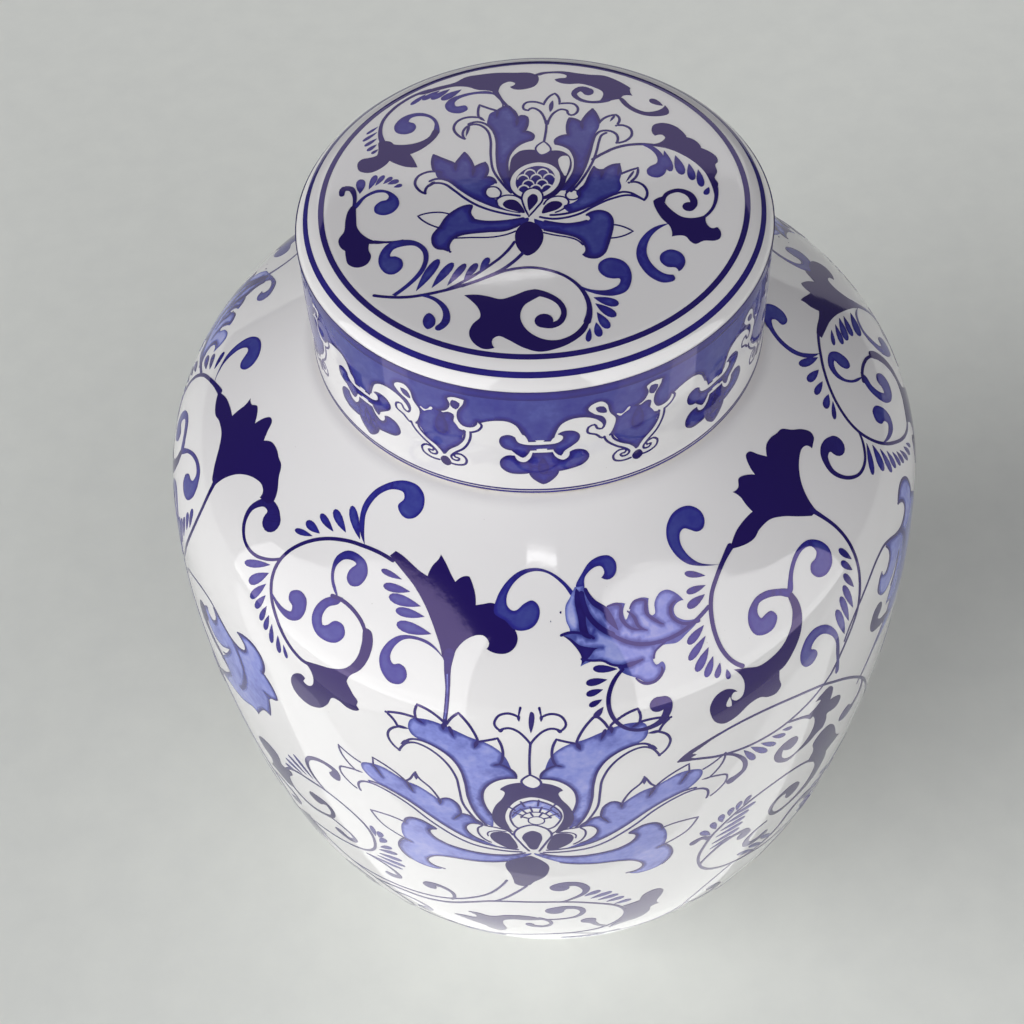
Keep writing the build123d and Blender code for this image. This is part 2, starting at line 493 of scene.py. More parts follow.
def lotus_middle_petal(art):
    """The large flower's middle left petal."""
    art.fill(WASH, (-17, -26, 1), (-22, -24.6), (-27, -22), (-33, -17.6), (-38, -12.8), (-43, -8),
             (-48, -4.7), (-54.5, -2.5), (-57.5, -0.2), (-59.6, 3), (-59.6, 6), (-57, 8), (-52.5, 8.8),
             (-48.5, 7.2), (-44.5, 5, 1), (-41.5, 4.6), (-38, 2.4), (-34.8, -0.8, 1), (-33, 0.8),
             (-31.3, 1.1), (-29.4, -0.8), (-28.6, -4), (-28.2, -6.6, 1), (-26.4, -6.6), (-24.6, -8.2),
             (-22.6, -11, 1), (-26.2, -12.2), (-27.4, -15.5), (-26, -19.2), (-22.6, -22))
    art.line(LINE, 0.75, (-60, 6.2), (-63, 7.4), (-67.2, 10.2, 1), (-66.6, 6), (-64.4, 2.2),
             (-62.2, 0, 1), (-65, -1), (-68.2, -3), (-68.2, -6.8), (-66, -10), (-63.4, -12))
    art.line(LINE, 0.75, (-55.4, 7.4), (-55.2, 12, 1), (-52, 10.8), (-48.6, 8.8), (-45, 5.4, 1),
             (-43.6, 7), (-42.4, 9.8), (-41.4, 12, 1), (-40.4, 9), (-37.4, 5.6), (-35.6, 2),
             (-34.7, -0.9, 1), (-33.2, 0.9), (-31.6, 1.4), (-29.5, -0.5), (-28.6, -3.8), (-28.5, -6.6, 1),
             (-26.6, -6.6), (-24.8, -8))
    art.drops(LINE, (-52.6, 2.6, -55.2, 8, 0.9), (-42.9, 0, -44.7, 5.6, 1.3),
              (-41.4, 7.8, -41.4, 11, 1.3), (-34.8, -3.4, -34.6, 0, 1.2), (-31, -11, -28.6, -6.8, 0.8),
              (-59.6, 0.4, -62.8, -0.2, 0.9))
    art.line(RIB, 0.85, (-12, -26.4), (-19, -25.4), (-24, -23.8), (-28, -21.6), (-33, -17.6),
             (-38, -12.8), (-42, -8.9), (-46, -5.8), (-50, -3.8), (-54, -2.6), (-58, -3.2))
    art.line(RIB, 0.85, (-11, -28), (-18, -27.8), (-25, -26.5), (-30, -23.8), (-35, -19.5), (-40, -14.5),
             (-44, -10), (-48, -6.9), (-52, -4.9), (-56, -4), (-59.4, -4.7), (-61.8, -7), (-62.4, -9.6),
             (-62, -12.2))


def lotus_lower_petal(art):
    """The large flower's lower left petal, with the white fold above it."""
    art.fill(WASH, (-8, -28.6, 1), (-15, -31), (-22, -31.7), (-29, -31.2), (-35, -29.4), (-39, -26),
             (-39.9, -22.5), (-37.8, -20.2, 1), (-39.6, -18.4), (-42.5, -17), (-45.5, -17.9),
             (-47.8, -21.3), (-49.3, -25), (-49.8, -31), (-49.4, -35.4), (-51.4, -39), (-52.4, -43.4),
             (-51.5, -48), (-48.6, -51.4), (-44.4, -53), (-40.4, -52.8), (-37.8, -50.6, 1),
             (-41.2, -49.9), (-42.6, -47.4), (-41.7, -44.2), (-38.6, -41), (-33, -39.3), (-25, -38.4),
             (-18, -36.8), (-13, -33.6), (-8, -29.4))
    art.line(LINE, 0.85, (-37.4, -20.3), (-39, -18.8), (-42.3, -17), (-45.2, -17.5), (-47.2, -19.6),
             (-47.9, -22.4))
    art.line(LINE, 0.75, (-47.9, -22.4), (-51, -21.7), (-55, -22), (-59.8, -23.4, 1), (-58.5, -27),
             (-56.5, -30.4), (-53, -33), (-47.2, -35.8))
    art.line(LINE, 0.75, (-49.7, -35.2), (-51.6, -39), (-52.4, -43.4), (-51.6, -47.5), (-49.4, -50.8))
    art.line(LINE, 0.75, (-37.4, -50.8), (-41.4, -49.8), (-42.8, -47.2), (-41.9, -44.2), (-39, -41.1),
             (-34.5, -39.5), (-26, -38.6), (-20, -37.3), (-16, -35.8))
    art.line(RIB, 0.95, (-37.6, -20.6), (-39.8, -22.6), (-39, -26), (-35, -29.5), (-29, -31.3),
             (-22, -31.8), (-15, -30.9), (-10, -28.6))


def lotus_root(art):
    """The curled lobes and the dark seed where the left petals meet."""
    art.fill(PAPER, (-22, -11.4), (-25.4, -11.5), (-27.2, -14), (-27.1, -17), (-25, -20.4), (-20, -23),
             (-13, -25), (-11.4, -20), (-13.4, -14.6), (-18, -12.4))
    art.fill(SEED, (-20.2, -18), (-19.2, -15.9), (-16.6, -14.9), (-14.4, -15.9), (-13.4, -18.4),
             (-12.3, -22), (-12.1, -25.4), (-13.8, -26.2), (-17, -24.2), (-19.4, -21.4))
    art.line(LINE, 0.65, (-22.2, -11.8), (-25.6, -11.7), (-27.4, -14.2), (-27.2, -17.2), (-25, -20.5),
             (-22.4, -22.3))
    art.line(LINE, 0.65, (-25, -8), (-22.2, -11.6), (-23.7, -14.2), (-23.7, -17.6), (-22.4, -20.6),
             (-20.2, -22.8))
    art.line(LINE, 0.65, (-24.8, -8.2), (-22, -11.6), (-18, -12.5), (-14.8, -13.7), (-13.2, -16.4))
    art.line(LINE, 0.5, (-20.8, -18.6), (-20.7, -16.2), (-18.6, -14.7), (-15.2, -14.6))


def lotus_half(art):
    """The left half of the large flower."""
    for part in (lotus_upper_petal, lotus_middle_petal, lotus_lower_petal, lotus_root):
        part(art)


def lotus_pod(art):
    """The seed pod in the middle of the large flower, with its scales and the petals' foot."""

    def on_pod(turn, far):
        """A point of the pod, at a turn from its top and a distance from its middle."""
        return -5.9 + far * sin(turn), -6.4 + 1.1 * far * cos(turn)

    pod_left = [(-9.6, 15), (-13, 13.9), (-15.4, 11.8), (-16, 10.6, 1), (-14.7, 9.4), (-15.4, 6),
                (-17.6, 1.5), (-18.8, -3), (-18.9, -7), (-17.6, -11), (-14.2, -14.4, 1), (-10, -14)]
    art.fill(SEED, *pod_left, *[(-13.6 - p[0], *p[1:]) for p in reversed(pod_left)])
    art.fill(PAPER, (-6.6, 7.3), (-10.6, 5.6), (-13.8, 0.6), (-15, -5), (-14.4, -10), (-12.4, -14.6),
             (-1.4, -14.6), (1, -10), (2.3, -5), (1.6, 0.6), (-2.4, 5.6))
    art.loop(LINE, 0.65, (-6.3, 5.4), (-9.4, 4), (-12, 1), (-13.4, -3), (-13.2, -8), (-11.4, -11.6),
             (-1.8, -11.6), (0.8, -8), (1.7, -3.4), (0.2, 0.8), (-2.8, 4))
    art.fill(PALE, (-6.3, 5), (-9.2, 3.6), (-11.6, 0.8), (-13, -3), (-13, -6, 1), (-11.4, -3.4),
             (-9.6, -0.6), (-6.2, 0.9), (-2.4, -0.6), (-0.4, -3.4), (1.1, -6, 1), (1.3, -3.4),
             (-0.2, 0.6), (-3, 3.6))
    for far in (4.6, 7.2):
        art.line(RIB, 0.5, *[on_pod(turn, far) for turn in (-1.3, -0.65, 0, 0.65, 1.3)])
    middle = (0, 1.05, 2.1, 3.14, 4.2, 5.24)
    art.loop(RIB, 0.45, *[(-5.8 + 2.5 * sin(turn), -6.6 + 2.5 * cos(turn)) for turn in middle])
    for turn, near, far in ((-1.15, 2.6, 4.8), (-0.35, 2.6, 4.8), (0.45, 2.6, 4.8), (1.2, 2.6, 4.8),
                            (-1, 5, 7.6), (-0.62, 5, 7.6), (-0.2, 5, 7.6), (0.25, 5, 7.6),
                            (0.66, 5, 7.6), (1.05, 5, 7.6), (-0.85, 8, 10.6), (-0.4, 8, 10.8),
                            (0.1, 8, 11), (0.6, 8, 10.8)):
        art.line(LINE, 0.65, on_pod(turn, near), on_pod(turn, far))
    art.fill(PAPER, (-7, -9.3), (-10.8, -11.6), (-12.8, -15.6), (-11.6, -20), (-8.6, -26, 1),
             (-5.4, -26, 1), (-2.4, -20), (-1.4, -15.6), (-3.2, -11.6))
    art.line(LINE, 0.75, (-8.6, -27), (-11.2, -21), (-12.8, -15.8), (-11, -11.6), (-7, -9.4), (-3, -11.6),
             (-1.4, -15.8), (-3.2, -21), (-5.4, -27))
    art.fill(SEED, (-7, -13.2), (-9.3, -14.8), (-10.4, -18), (-9.4, -21.6), (-7.8, -25.8), (-6.4, -25.8),
             (-5, -21.6), (-4.3, -18), (-4.9, -14.8))


def lotus_finial(art):
    """The finial above the pod, with its two curled fronds."""
    art.fill(PAPER, (-7, 19, 1), (-9.6, 15.6), (-8.2, 13), (-6.2, 12.1), (-4.4, 13.4), (-4, 15.8))
    art.loop(LINE, 0.75, (-7, 19.2, 1), (-9.6, 15.6), (-8.3, 13), (-6.2, 12), (-4.3, 13.3), (-4, 15.8))
    art.line(LINE, 0.8, (-7, 19), (-7, 25), (-6.8, 30), (-6.5, 34))
    frond = ((0, 33.6), (1.4, 36), (3.6, 38.4), (6.2, 39.4), (8.8, 38.4, 1), (10.4, 40.6),
             (9.2, 43.4), (6.4, 44.4), (3.4, 43.4, 1), (2.8, 46.4))
    for way in (-1, 1):
        art.line(LINE, 0.75, *[(way * x - 6.5, y, *corner) for x, y, *corner in frond])
        art.drops(LINE, (-6.5 + way * 3.2, 41.8, -6.5 + way * 3.4, 44, 1),
                  (-6.5 + way * 7.6, 38.9, -6.5 + way * 9.2, 38, 1.3))
    art.fill(LINE, (-6.2, 45.2), (-6.9, 42), (-6.3, 37.8, 1), (-5.3, 41.6), (-5.3, 44.6))


def lotus_bud(art):
    """The bud under the large flower."""
    art.fill(SEED, (-8.2, -30.6, 1), (-13.6, -33.8), (-16.2, -37), (-16.3, -41.4), (-15, -46.4),
             (-14.4, -51), (-14, -54), (-11.8, -55.6), (-9.4, -54.6), (-7.8, -51.6), (-4.4, -47.4),
             (-2.8, -42.2), (-2.8, -38), (-4.6, -34.4))


def scroll_west(art):
    """The ring scroll to the upper left of the large flower."""
    art.line(STEM, 1.1, (-61, 80.4), (-68, 80.9), (-75, 80.5), (-82, 79.4), (-90, 76.6), (-96, 72.6),
             (-100, 67.6), (-101.4, 62.4), (-100.4, 57.4), (-97.4, 52.6), (-93, 48.3), (-88, 44.4),
             (-83, 41.7), (-79, 40.7), (-74, 41.6))
    art.fill(CURL, (-74.4, 81, 1), (-78.2, 85.5), (-80.3, 89), (-80.3, 92.6), (-78.7, 95.6), (-75.5, 98),
             (-71.5, 99.1), (-68.2, 99), (-66.9, 97.5), (-68.4, 95.3), (-65.8, 93.4), (-62, 92.8),
             (-58.2, 94.3), (-56.6, 97.2), (-58, 100.3), (-62, 102.3), (-67, 102.7), (-72.5, 101.8),
             (-78, 99.3), (-82, 95.8), (-83.5, 91.5), (-82.5, 88), (-80, 84.6))
    art.drops(CURL, (-77.2, 81.6, -88, 88.5, 2.8), (-84, 81.2, -94, 84.7, 2.6),
              (-89, 79.4, -98.2, 81.2, 2.2), (-93.6, 76.6, -101.6, 76.8, 2.6),
              (-95.6, 74.7, -103.6, 72.7, 1.8), (-103.5, 60, -113.2, 54.2, 2.4),
              (-102.4, 57.8, -108, 50.7, 3.1), (-101.4, 54.6, -105, 47, 2.5),
              (-99.7, 51.6, -101.8, 45.6, 2.3), (-97.8, 49, -98.5, 43.3, 2), (-95.8, 47, -95.8, 41.6, 2),
              (-93.7, 45.2, -92.2, 39, 1.9), (-90.4, 43.2, -88.6, 37.6, 1.9),
              (-87.6, 41.6, -85.4, 37.7, 1.4))
    art.swell(STEM, (-101.5, 63.4, 0.8), (-106, 60.4, 1), (-112, 58.4, 1), (-118, 59, 1),
              (-123, 62.6, 1.3), (-124.7, 67, 1.8), (-122, 71.2, 2.6), (-117.6, 72, 3.6),
              (-114, 69.3, 6.6))
    art.fill(CURL, (-98.8, 54.2, 1), (-93, 50.9), (-88, 50.3), (-84.5, 52.3), (-83.6, 55.5), (-85, 58.8),
             (-88.6, 59.8), (-91.6, 57.8), (-91, 55.6), (-88.8, 54.6), (-88.4, 53), (-90.6, 52.3),
             (-94, 52.6))
    art.fill(CURL, (-74.6, 64, 1), (-79.5, 67), (-82, 70.5), (-82.6, 74), (-80, 77), (-75.5, 77.8),
             (-70.5, 76.6), (-68.2, 73.5), (-69.4, 70), (-72.5, 68.9), (-75.1, 70.4), (-75.4, 72.8),
             (-74, 75), (-76, 75.4), (-79.5, 74.2), (-80.8, 71.5), (-79.5, 68.5), (-76.5, 65.9))
    art.fill(CURL, (-73, 64.8, 1), (-78.6, 62.4), (-80.8, 58.5), (-80.3, 54.5), (-77.3, 51.6), (-73, 51),
             (-69.2, 52.4), (-67.6, 55.3), (-69.2, 57.8), (-72.5, 57.8), (-74.5, 55.6), (-76.1, 54.9),
             (-77.3, 57.5), (-76.5, 60.4), (-73.6, 62.6))
    art.line(STEM, 1.1, (-77, 63.8), (-72, 64), (-67, 62.8), (-63, 60.6), (-60, 57))
    art.fill(LEAF, (-62, 59.6), (-59.4, 59.6), (-57.7, 56.8), (-57.7, 52), (-59.5, 47.6), (-62.6, 44.2),
             (-63.4, 41.8, 1), (-61, 38.6), (-59.1, 36.4), (-59.4, 34.6), (-58.5, 33.4), (-60, 32.2),
             (-62.6, 32.1), (-65.4, 33.3), (-67.8, 33.1), (-69.6, 29), (-73, 24.8), (-77.5, 23.3),
             (-82, 25.4), (-83.5, 29.4), (-82.3, 33.5), (-79.5, 35.4), (-77.9, 34.7), (-78.6, 33.1),
             (-77.4, 32.4), (-75.9, 32.8), (-74.8, 34.6), (-75, 37.2), (-76.6, 39.5), (-79.5, 40.9, 1),
             (-74.5, 42.3), (-69, 43.7), (-64.5, 46), (-61.6, 50.5), (-61.2, 55.4))


def leaf_over_flower(art):
    """The dark leaf above the large flower, with its stem, comb and two curls."""
    art.fill(LEAF, (-62.9, 81.4, 1), (-61.3, 83.2, 1), (-57, 82.5), (-50, 80.4), (-45.9, 79.5, 1),
             (-45.2, 82.6), (-43.5, 84.8), (-43, 86.3, 1), (-40, 84.2), (-37.6, 82), (-35, 79.8, 1),
             (-32.4, 81.7), (-30, 82, 1), (-28.4, 80.2), (-26.8, 77.5), (-26, 74.4, 1), (-23.5, 75),
             (-20, 75.6), (-17, 74.4), (-14, 71), (-11.4, 68.5), (-10.5, 66.4), (-11.2, 64),
             (-13.5, 62.2), (-17, 61.8), (-20.5, 62.8, 1), (-19.8, 64.4), (-21.5, 66.2), (-24, 66.3),
             (-27.6, 64.6), (-30.2, 61.5), (-31.3, 58), (-33.4, 57.6), (-36, 62), (-40, 67.4),
             (-44.5, 72), (-50, 75.9), (-56, 78.7))
    art.swell(LINE, (-32.3, 60, 3), (-32.2, 56, 2), (-31.4, 50, 1.3), (-31.3, 44, 1.3),
              (-31.7, 37.6, 1.2))
    art.line(PALE, 0.4, (-32, 54), (-31.4, 49), (-31.3, 44), (-31.6, 40))
    art.drops(CURL, (-55, 76.4, -64, 76.8, 1.7), (-50.5, 73.9, -61, 73, 2.5),
              (-45.3, 70.9, -57.6, 70.8, 3.1), (-43, 68.4, -53.6, 67.8, 2.7),
              (-39.3, 64.2, -51.8, 64.3, 3.3))
    art.fill(CURL, (-33.6, 58, 1), (-38.5, 60.8), (-44, 61.6), (-48, 60.6), (-50.4, 57.8), (-51, 54.6),
             (-49.5, 52.9), (-47.6, 53.6), (-45.5, 52.8), (-44.5, 50.4), (-46, 47.8), (-49.5, 47.2),
             (-53, 50), (-54.4, 54), (-53.2, 58), (-50, 61.2), (-45, 62.4), (-39, 61.8))
    art.fill(CURL, (-19.2, 73), (-18.5, 77.5), (-15.6, 81.7), (-11, 84.8), (-5, 85.9), (0.5, 85),
             (5.5, 82.5), (9.6, 78.6), (10.4, 76.4, 1), (8.8, 77.4), (6, 80.7), (1, 84), (-4, 85),
             (-9, 84), (-13, 81.3), (-15, 78), (-14.8, 75.4), (-13, 74), (-11.3, 74.1), (-8.6, 76),
             (-5.6, 76.9), (-3.3, 75.2), (-3.2, 72.4), (-5, 69.8), (-8.5, 68.5), (-12, 68.8), (-15, 71))
    art.drops(LINE, (3.9, 73.4, 4.6, 73.3, 0.8), (0.5, 71, 0.8, 71, 0.5))


def feather_leaf(art):
    """The pale leaf of hooked lobes that grows out of the next ring scroll."""
    art.fill(CURL, (12.5, 78.6), (10.6, 80), (13.6, 83.6), (17, 86.3), (21.6, 87.5), (25.6, 87),
             (27.4, 84.9), (26.4, 82), (23.6, 80.7), (20.6, 81.5, 1), (22.2, 83), (21.6, 84.5),
             (19.4, 84.8), (16.4, 83.8), (14.2, 82), (13.6, 79))
    art.fill(MID, (10.2, 80, 1), (13.4, 80, 1), (15.4, 76), (19, 73.2), (22.4, 73.8), (25.4, 73.8),
             (27.4, 73.2, 1), (26, 70.8), (26.4, 68.8), (28.4, 71), (30, 73), (33, 73.8), (36, 73, 1),
             (35, 70.6), (35, 68.4), (36.6, 68.4), (37.6, 71.4), (40.4, 73.6), (43.4, 73.7), (46, 72),
             (47.7, 69.4, 1), (45.4, 69.4), (43.4, 68.2), (43.2, 66.2), (45.6, 64.2), (49.4, 63.4),
             (54.4, 64.6, 1), (49, 62), (45, 60.4), (41, 58.9), (36.4, 59.4), (33.4, 58.3), (32.2, 56.2),
             (33, 54.5), (35, 55), (35.6, 53.2), (33.6, 50.6), (30, 49.6), (26.4, 52), (22, 54.6),
             (20.6, 56.6), (16.6, 59), (13, 59), (9.4, 58, 1), (10, 60.6), (8.6, 64), (4, 67, 1), (7, 68),
             (6, 71), (6.2, 75), (8, 77.2))
    art.fill(STEM, (10.6, 79.6, 1), (9.6, 76.6), (10.2, 71), (10.6, 67), (13.8, 65.2, 1), (12.8, 69),
             (13, 73), (12.6, 77))
    art.line(LINE, 1.5, (12.4, 78), (13.8, 72), (17, 68.2), (21, 65.6))
    art.line(RIB, 1.1, (20, 66.2), (25.6, 62.6), (31, 61), (38, 60.6), (44, 61.4), (49.6, 63), (55, 65))
    art.swell(LINE, (14, 79, 1), (16, 75.5, 1.6), (20, 72.4, 1.8), (23, 66.6, 0.4))
    art.swell(LINE, (20.8, 72.8, 0.5), (20.2, 71, 1.5), (22.6, 67, 0.3))
    art.swell(RIB, (21, 73.4, 0.5), (25.6, 73, 0.9), (25, 69.6, 1.2), (27, 66.6, 0.9), (31, 65.2, 0.3))
    art.swell(RIB, (27.6, 71, 0.4), (29.4, 68.8, 1), (30, 66.4, 1), (32.6, 64.6, 0.3))
    art.swell(RIB, (28.6, 71.6, 0.4), (31, 73.3, 0.7), (34.6, 72.6, 0.8), (33.9, 69.4, 1.1),
              (36.4, 66.4, 0.9), (38.4, 65, 0.3))
    art.swell(RIB, (44.8, 70, 0.4), (42.4, 68.6, 1), (42, 66.2, 1), (44.4, 63.6, 0.8), (50, 62.6, 1.2))
    art.line(LINE, 0.8, (4, 67), (7.6, 67.6), (12.4, 66.6), (14.6, 65.4))
    art.fill(STEM, (4.2, 67, 1), (7.6, 64.4), (10, 60.6), (9.6, 58.4, 1), (12.6, 60.4), (14.6, 62.2),
             (17.2, 62.4, 1), (13, 63), (9.6, 64), (7, 66))
    art.line(LINE, 0.7, (10, 60), (13, 59.3), (16.6, 58.8), (19.4, 57.2), (22, 56.6))
    art.swell(RIB, (21.6, 56.2, 1), (25, 56.4, 1.4), (29, 57, 0.5))
    art.swell(LINE, (26, 52, 0.5), (28.4, 50, 0.9), (31.6, 49.9, 0.9), (34.2, 51.8, 0.9),
              (34.4, 53.4, 0.5))
    art.line(RIB, 0.6, (32.6, 56.6), (33.6, 58.4), (36, 59.6), (38, 60.4))
    art.drops(LINE, (20.8, 55.8, 13.2, 57, 2.2), (17.2, 53.3, 10.6, 53, 2.2), (15.6, 50.6, 10.4, 49.6, 2),
              (15, 47.6, 11, 46, 1.8), (15.2, 45.2, 12.2, 42, 1.9))
    art.swell(STEM, (22.4, 55.4, 0.9), (19, 52.4, 1.2), (17, 48, 1.3), (17, 43.5, 1.3), (19, 39, 1.2),
              (22.6, 35.8, 1.1), (27, 34.8, 1.4), (31.6, 36.2, 2), (34, 39.6, 2.6), (34, 42.6, 3),
              (31.4, 42.4, 5))


def scroll_east(art):
    """The ring scroll and dark leaf to the upper right of the large flower."""
    art.fill(CURL, (65.6, 74.2, 1), (61.6, 75.6), (58, 77.6), (55.6, 80.6), (54.7, 84), (56, 86.8),
             (58.6, 87.7), (60.8, 86.6), (63, 85.3), (66.2, 85.4), (68.6, 87.6), (68.6, 90), (66, 92.4),
             (61.4, 93.4), (56, 92.6), (51.9, 90), (50.1, 86.4), (51, 82), (54, 78.4), (58.6, 76.2))
    art.swell(STEM, (72.4, 77, 2), (67.6, 74.8, 1.4), (62.4, 71.6, 1.2), (58, 68, 1.2), (55.2, 63.6, 1.3),
              (53.9, 58.4, 1.3), (54.2, 52.8, 1.3), (56.2, 48, 1.3), (59.4, 44.4, 1.4))
    art.drops(CURL, (58.6, 73.2, 51.6, 76.2, 1.9), (57.2, 70.8, 49.6, 71, 2), (55.6, 68.6, 48, 67, 2.4),
              (51.2, 60.8, 44.2, 57.4, 2.4), (50.6, 57.8, 43.2, 52.8, 2.3), (50.4, 54.4, 44.6, 48.8, 2.6),
              (51, 51.4, 47.2, 46, 2.3), (52.6, 48.6, 50.4, 44.4, 1.9), (54.2, 45.8, 54.2, 42.4, 1.6))
    art.fill(LEAF, (72, 76.4, 1), (77, 79.4), (82, 80.8), (88.4, 81.4, 1), (87.8, 84), (87.6, 87),
             (86, 89.3, 1), (89.6, 89.4), (92, 91.2), (95.4, 90.8), (99.8, 88.8, 1), (100.4, 92),
             (102.4, 94.6), (105.4, 94.6), (107.6, 92.4), (110.4, 89.8, 1), (114, 92), (118.6, 92.4),
             (123, 91.6), (126.6, 91), (130, 88.2), (134, 85.4), (135.8, 82.6), (134.8, 81),
             (131.8, 80.3), (129.8, 79.9, 1), (129.2, 81.6), (126.4, 82.6), (122.4, 82), (117.4, 79.8),
             (113.4, 76.4), (111, 72), (110.4, 68.2, 1), (107.4, 68.4, 1), (103, 71.2), (98, 74.4),
             (92.6, 76.4), (86.4, 76.2), (82, 75))
    art.swell(STEM, (109, 69.6, 1.6), (110.8, 65, 1.2), (112.2, 60, 1.1), (112.6, 54, 1.1),
              (111.6, 47, 1.1), (109, 39.6, 1.1), (105.4, 32, 1), (100, 24, 1), (93, 14.6, 1))
    art.fill(LEAF, (83, 57.6), (84.6, 53), (84, 48.6), (81.4, 43.6), (77.4, 39.4), (73.4, 36.4),
             (71.2, 35.8, 1), (70.9, 32.4), (71.4, 29), (69.6, 27), (66.6, 27.6), (63.6, 29.6),
             (60, 29.2), (55.6, 26.4), (51.6, 25.6), (48.6, 28), (47.2, 31.6), (47, 35.2), (49, 38.4),
             (52.2, 39.4), (54.8, 38.4), (56.2, 36.8, 1), (54.8, 37), (54, 35.4), (55.6, 33.4),
             (57.6, 34), (58.8, 37), (58.6, 40.6), (56.4, 44.6, 1), (60.4, 43.2), (64.6, 41.6),
             (68.8, 41.8), (74, 43.4), (78.6, 47), (81.4, 51.6), (82, 56))
    art.fill(PAPER, (53.6, 36.2, 1), (52.2, 33), (54, 32, 1), (54, 34))
    art.fill(CURL, (83.4, 57.2), (79.6, 59.6), (75.4, 61), (71, 60.8), (67, 58.4), (65.4, 54.8),
             (66.4, 51.4), (69.8, 49.9), (73.4, 50.4), (75.6, 53), (74.4, 55.2), (72, 55.2), (70.2, 54.9),
             (69.8, 57), (71.6, 59), (75.4, 58.9), (79.4, 57.4), (82.4, 55.4))
    art.fill(CURL, (82.6, 56.6), (86, 60.6), (90.6, 63.6), (95.4, 64.9), (100, 64.4), (103.6, 61.4),
             (104.6, 57.8), (102.6, 54.2), (98.6, 52.9), (95, 54.2), (93.8, 56.8), (95.4, 58.7), (98, 59),
             (99.8, 60.2), (99.4, 62.4), (96, 63.5), (91.6, 62.6), (87.4, 60), (84, 56))
    art.drops(CURL, (110.1, 49.6, 107.6, 55.4, 2.2), (108.4, 46.8, 105.8, 52, 2.2),
              (106.4, 41.8, 104.4, 48.4, 2.2), (103.8, 35.6, 102.4, 45.6, 2.6),
              (101, 32.4, 99.8, 43.4, 2.6), (98.8, 28.4, 96.6, 40.8, 2.9))
    art.fill(CURL, (95.6, 12), (95.4, 20), (94.8, 28), (92.4, 34), (88.4, 37.6), (85.4, 37.2),
             (83.9, 35.3), (85.4, 33.8), (86.2, 31.2), (84, 28.8), (81.4, 29.4), (79.4, 32.8), (80, 37),
             (83, 40.4), (87, 41.2), (91.4, 39.2), (94.8, 34), (96.2, 27.6), (96.6, 20), (96.6, 12))


def drooping_leaf(art):
    """The pale leaf that hangs from an arched stem between two ring scrolls."""
    art.fill(WASH, (-108, 29.9, 1), (-105, 31.4), (-101, 31.9), (-98, 30.8), (-96, 28.5), (-95.5, 25),
             (-96.3, 21.8, 1), (-94, 19.8), (-92, 16.8), (-91, 13.2, 1), (-93.5, 11.3), (-95.2, 9),
             (-95.7, 4), (-96.7, -1.2, 1), (-99.4, -1.4), (-101.5, -3.6), (-104.6, -9.6, 1), (-107.4, -9),
             (-110.5, -11), (-115, -13.5), (-121, -15), (-127, -16.4), (-133, -20.4, 1), (-130, -15),
             (-125.5, -11), (-121.5, -7), (-119.6, -3.6), (-121.6, -1.4), (-124, -0.4, 1), (-122, 3),
             (-119, 7), (-116, 11), (-115, 14.6, 1), (-117.6, 12), (-121, 9.4), (-126, 8.5), (-129.6, 11),
             (-131.5, 15), (-130.3, 19), (-128.2, 20.6, 1), (-127.6, 18.6), (-124.4, 18), (-121.9, 20.6),
             (-122.1, 24), (-122.8, 26.9, 1), (-119.6, 26.2), (-116, 24.3), (-112, 22.6), (-108, 22.5),
             (-105, 24), (-104.2, 26.2), (-105.8, 28.7))
    art.line(LINE, 0.9, (-151, 12), (-147, 18), (-141, 22.3), (-135, 25.5), (-130, 27.3), (-124, 27.8),
             (-120, 26.4), (-116, 24.3), (-112, 22.6), (-108, 22.5), (-105, 24), (-104.2, 26.3),
             (-105.6, 28.6), (-108, 29.9, 1), (-105, 31.4), (-101, 31.9), (-98, 30.8), (-96, 28.4),
             (-95.5, 25), (-96.6, 21.4))
    art.line(LINE, 0.6, (-96.3, 21.6), (-94, 19.8), (-91.9, 16.6), (-91, 13.1, 1), (-93.5, 11.3),
             (-97, 11))
    art.line(LINE, 0.6, (-95.6, 9), (-95.8, 4), (-96.8, -1.4, 1), (-99.4, -1.4), (-101.5, -3.6),
             (-104.8, -9.8))
    art.line(RIB, 0.9, (-111.6, 22), (-108.6, 17), (-107.4, 11), (-108.2, 5), (-110.4, -0.6),
             (-113, -4.6))
    art.line(RIB, 0.8, (-122.8, 26.4), (-121.7, 22.6), (-123, 19.6), (-125.6, 17.6))
    art.line(RIB, 0.6, (-114.8, 14.8), (-116.4, 11), (-119, 7.4), (-121, 6))
    art.swell(RIB, (-119.6, -3.6, 0.5), (-122.4, -8, 1), (-127.6, -14, 1.4), (-134, -21.4, 1.8),
              (-138, -26, 1))
    art.line(RIB, 0.7, (-130.6, 13), (-131.5, 16), (-130.2, 19.2), (-128.4, 20.6))


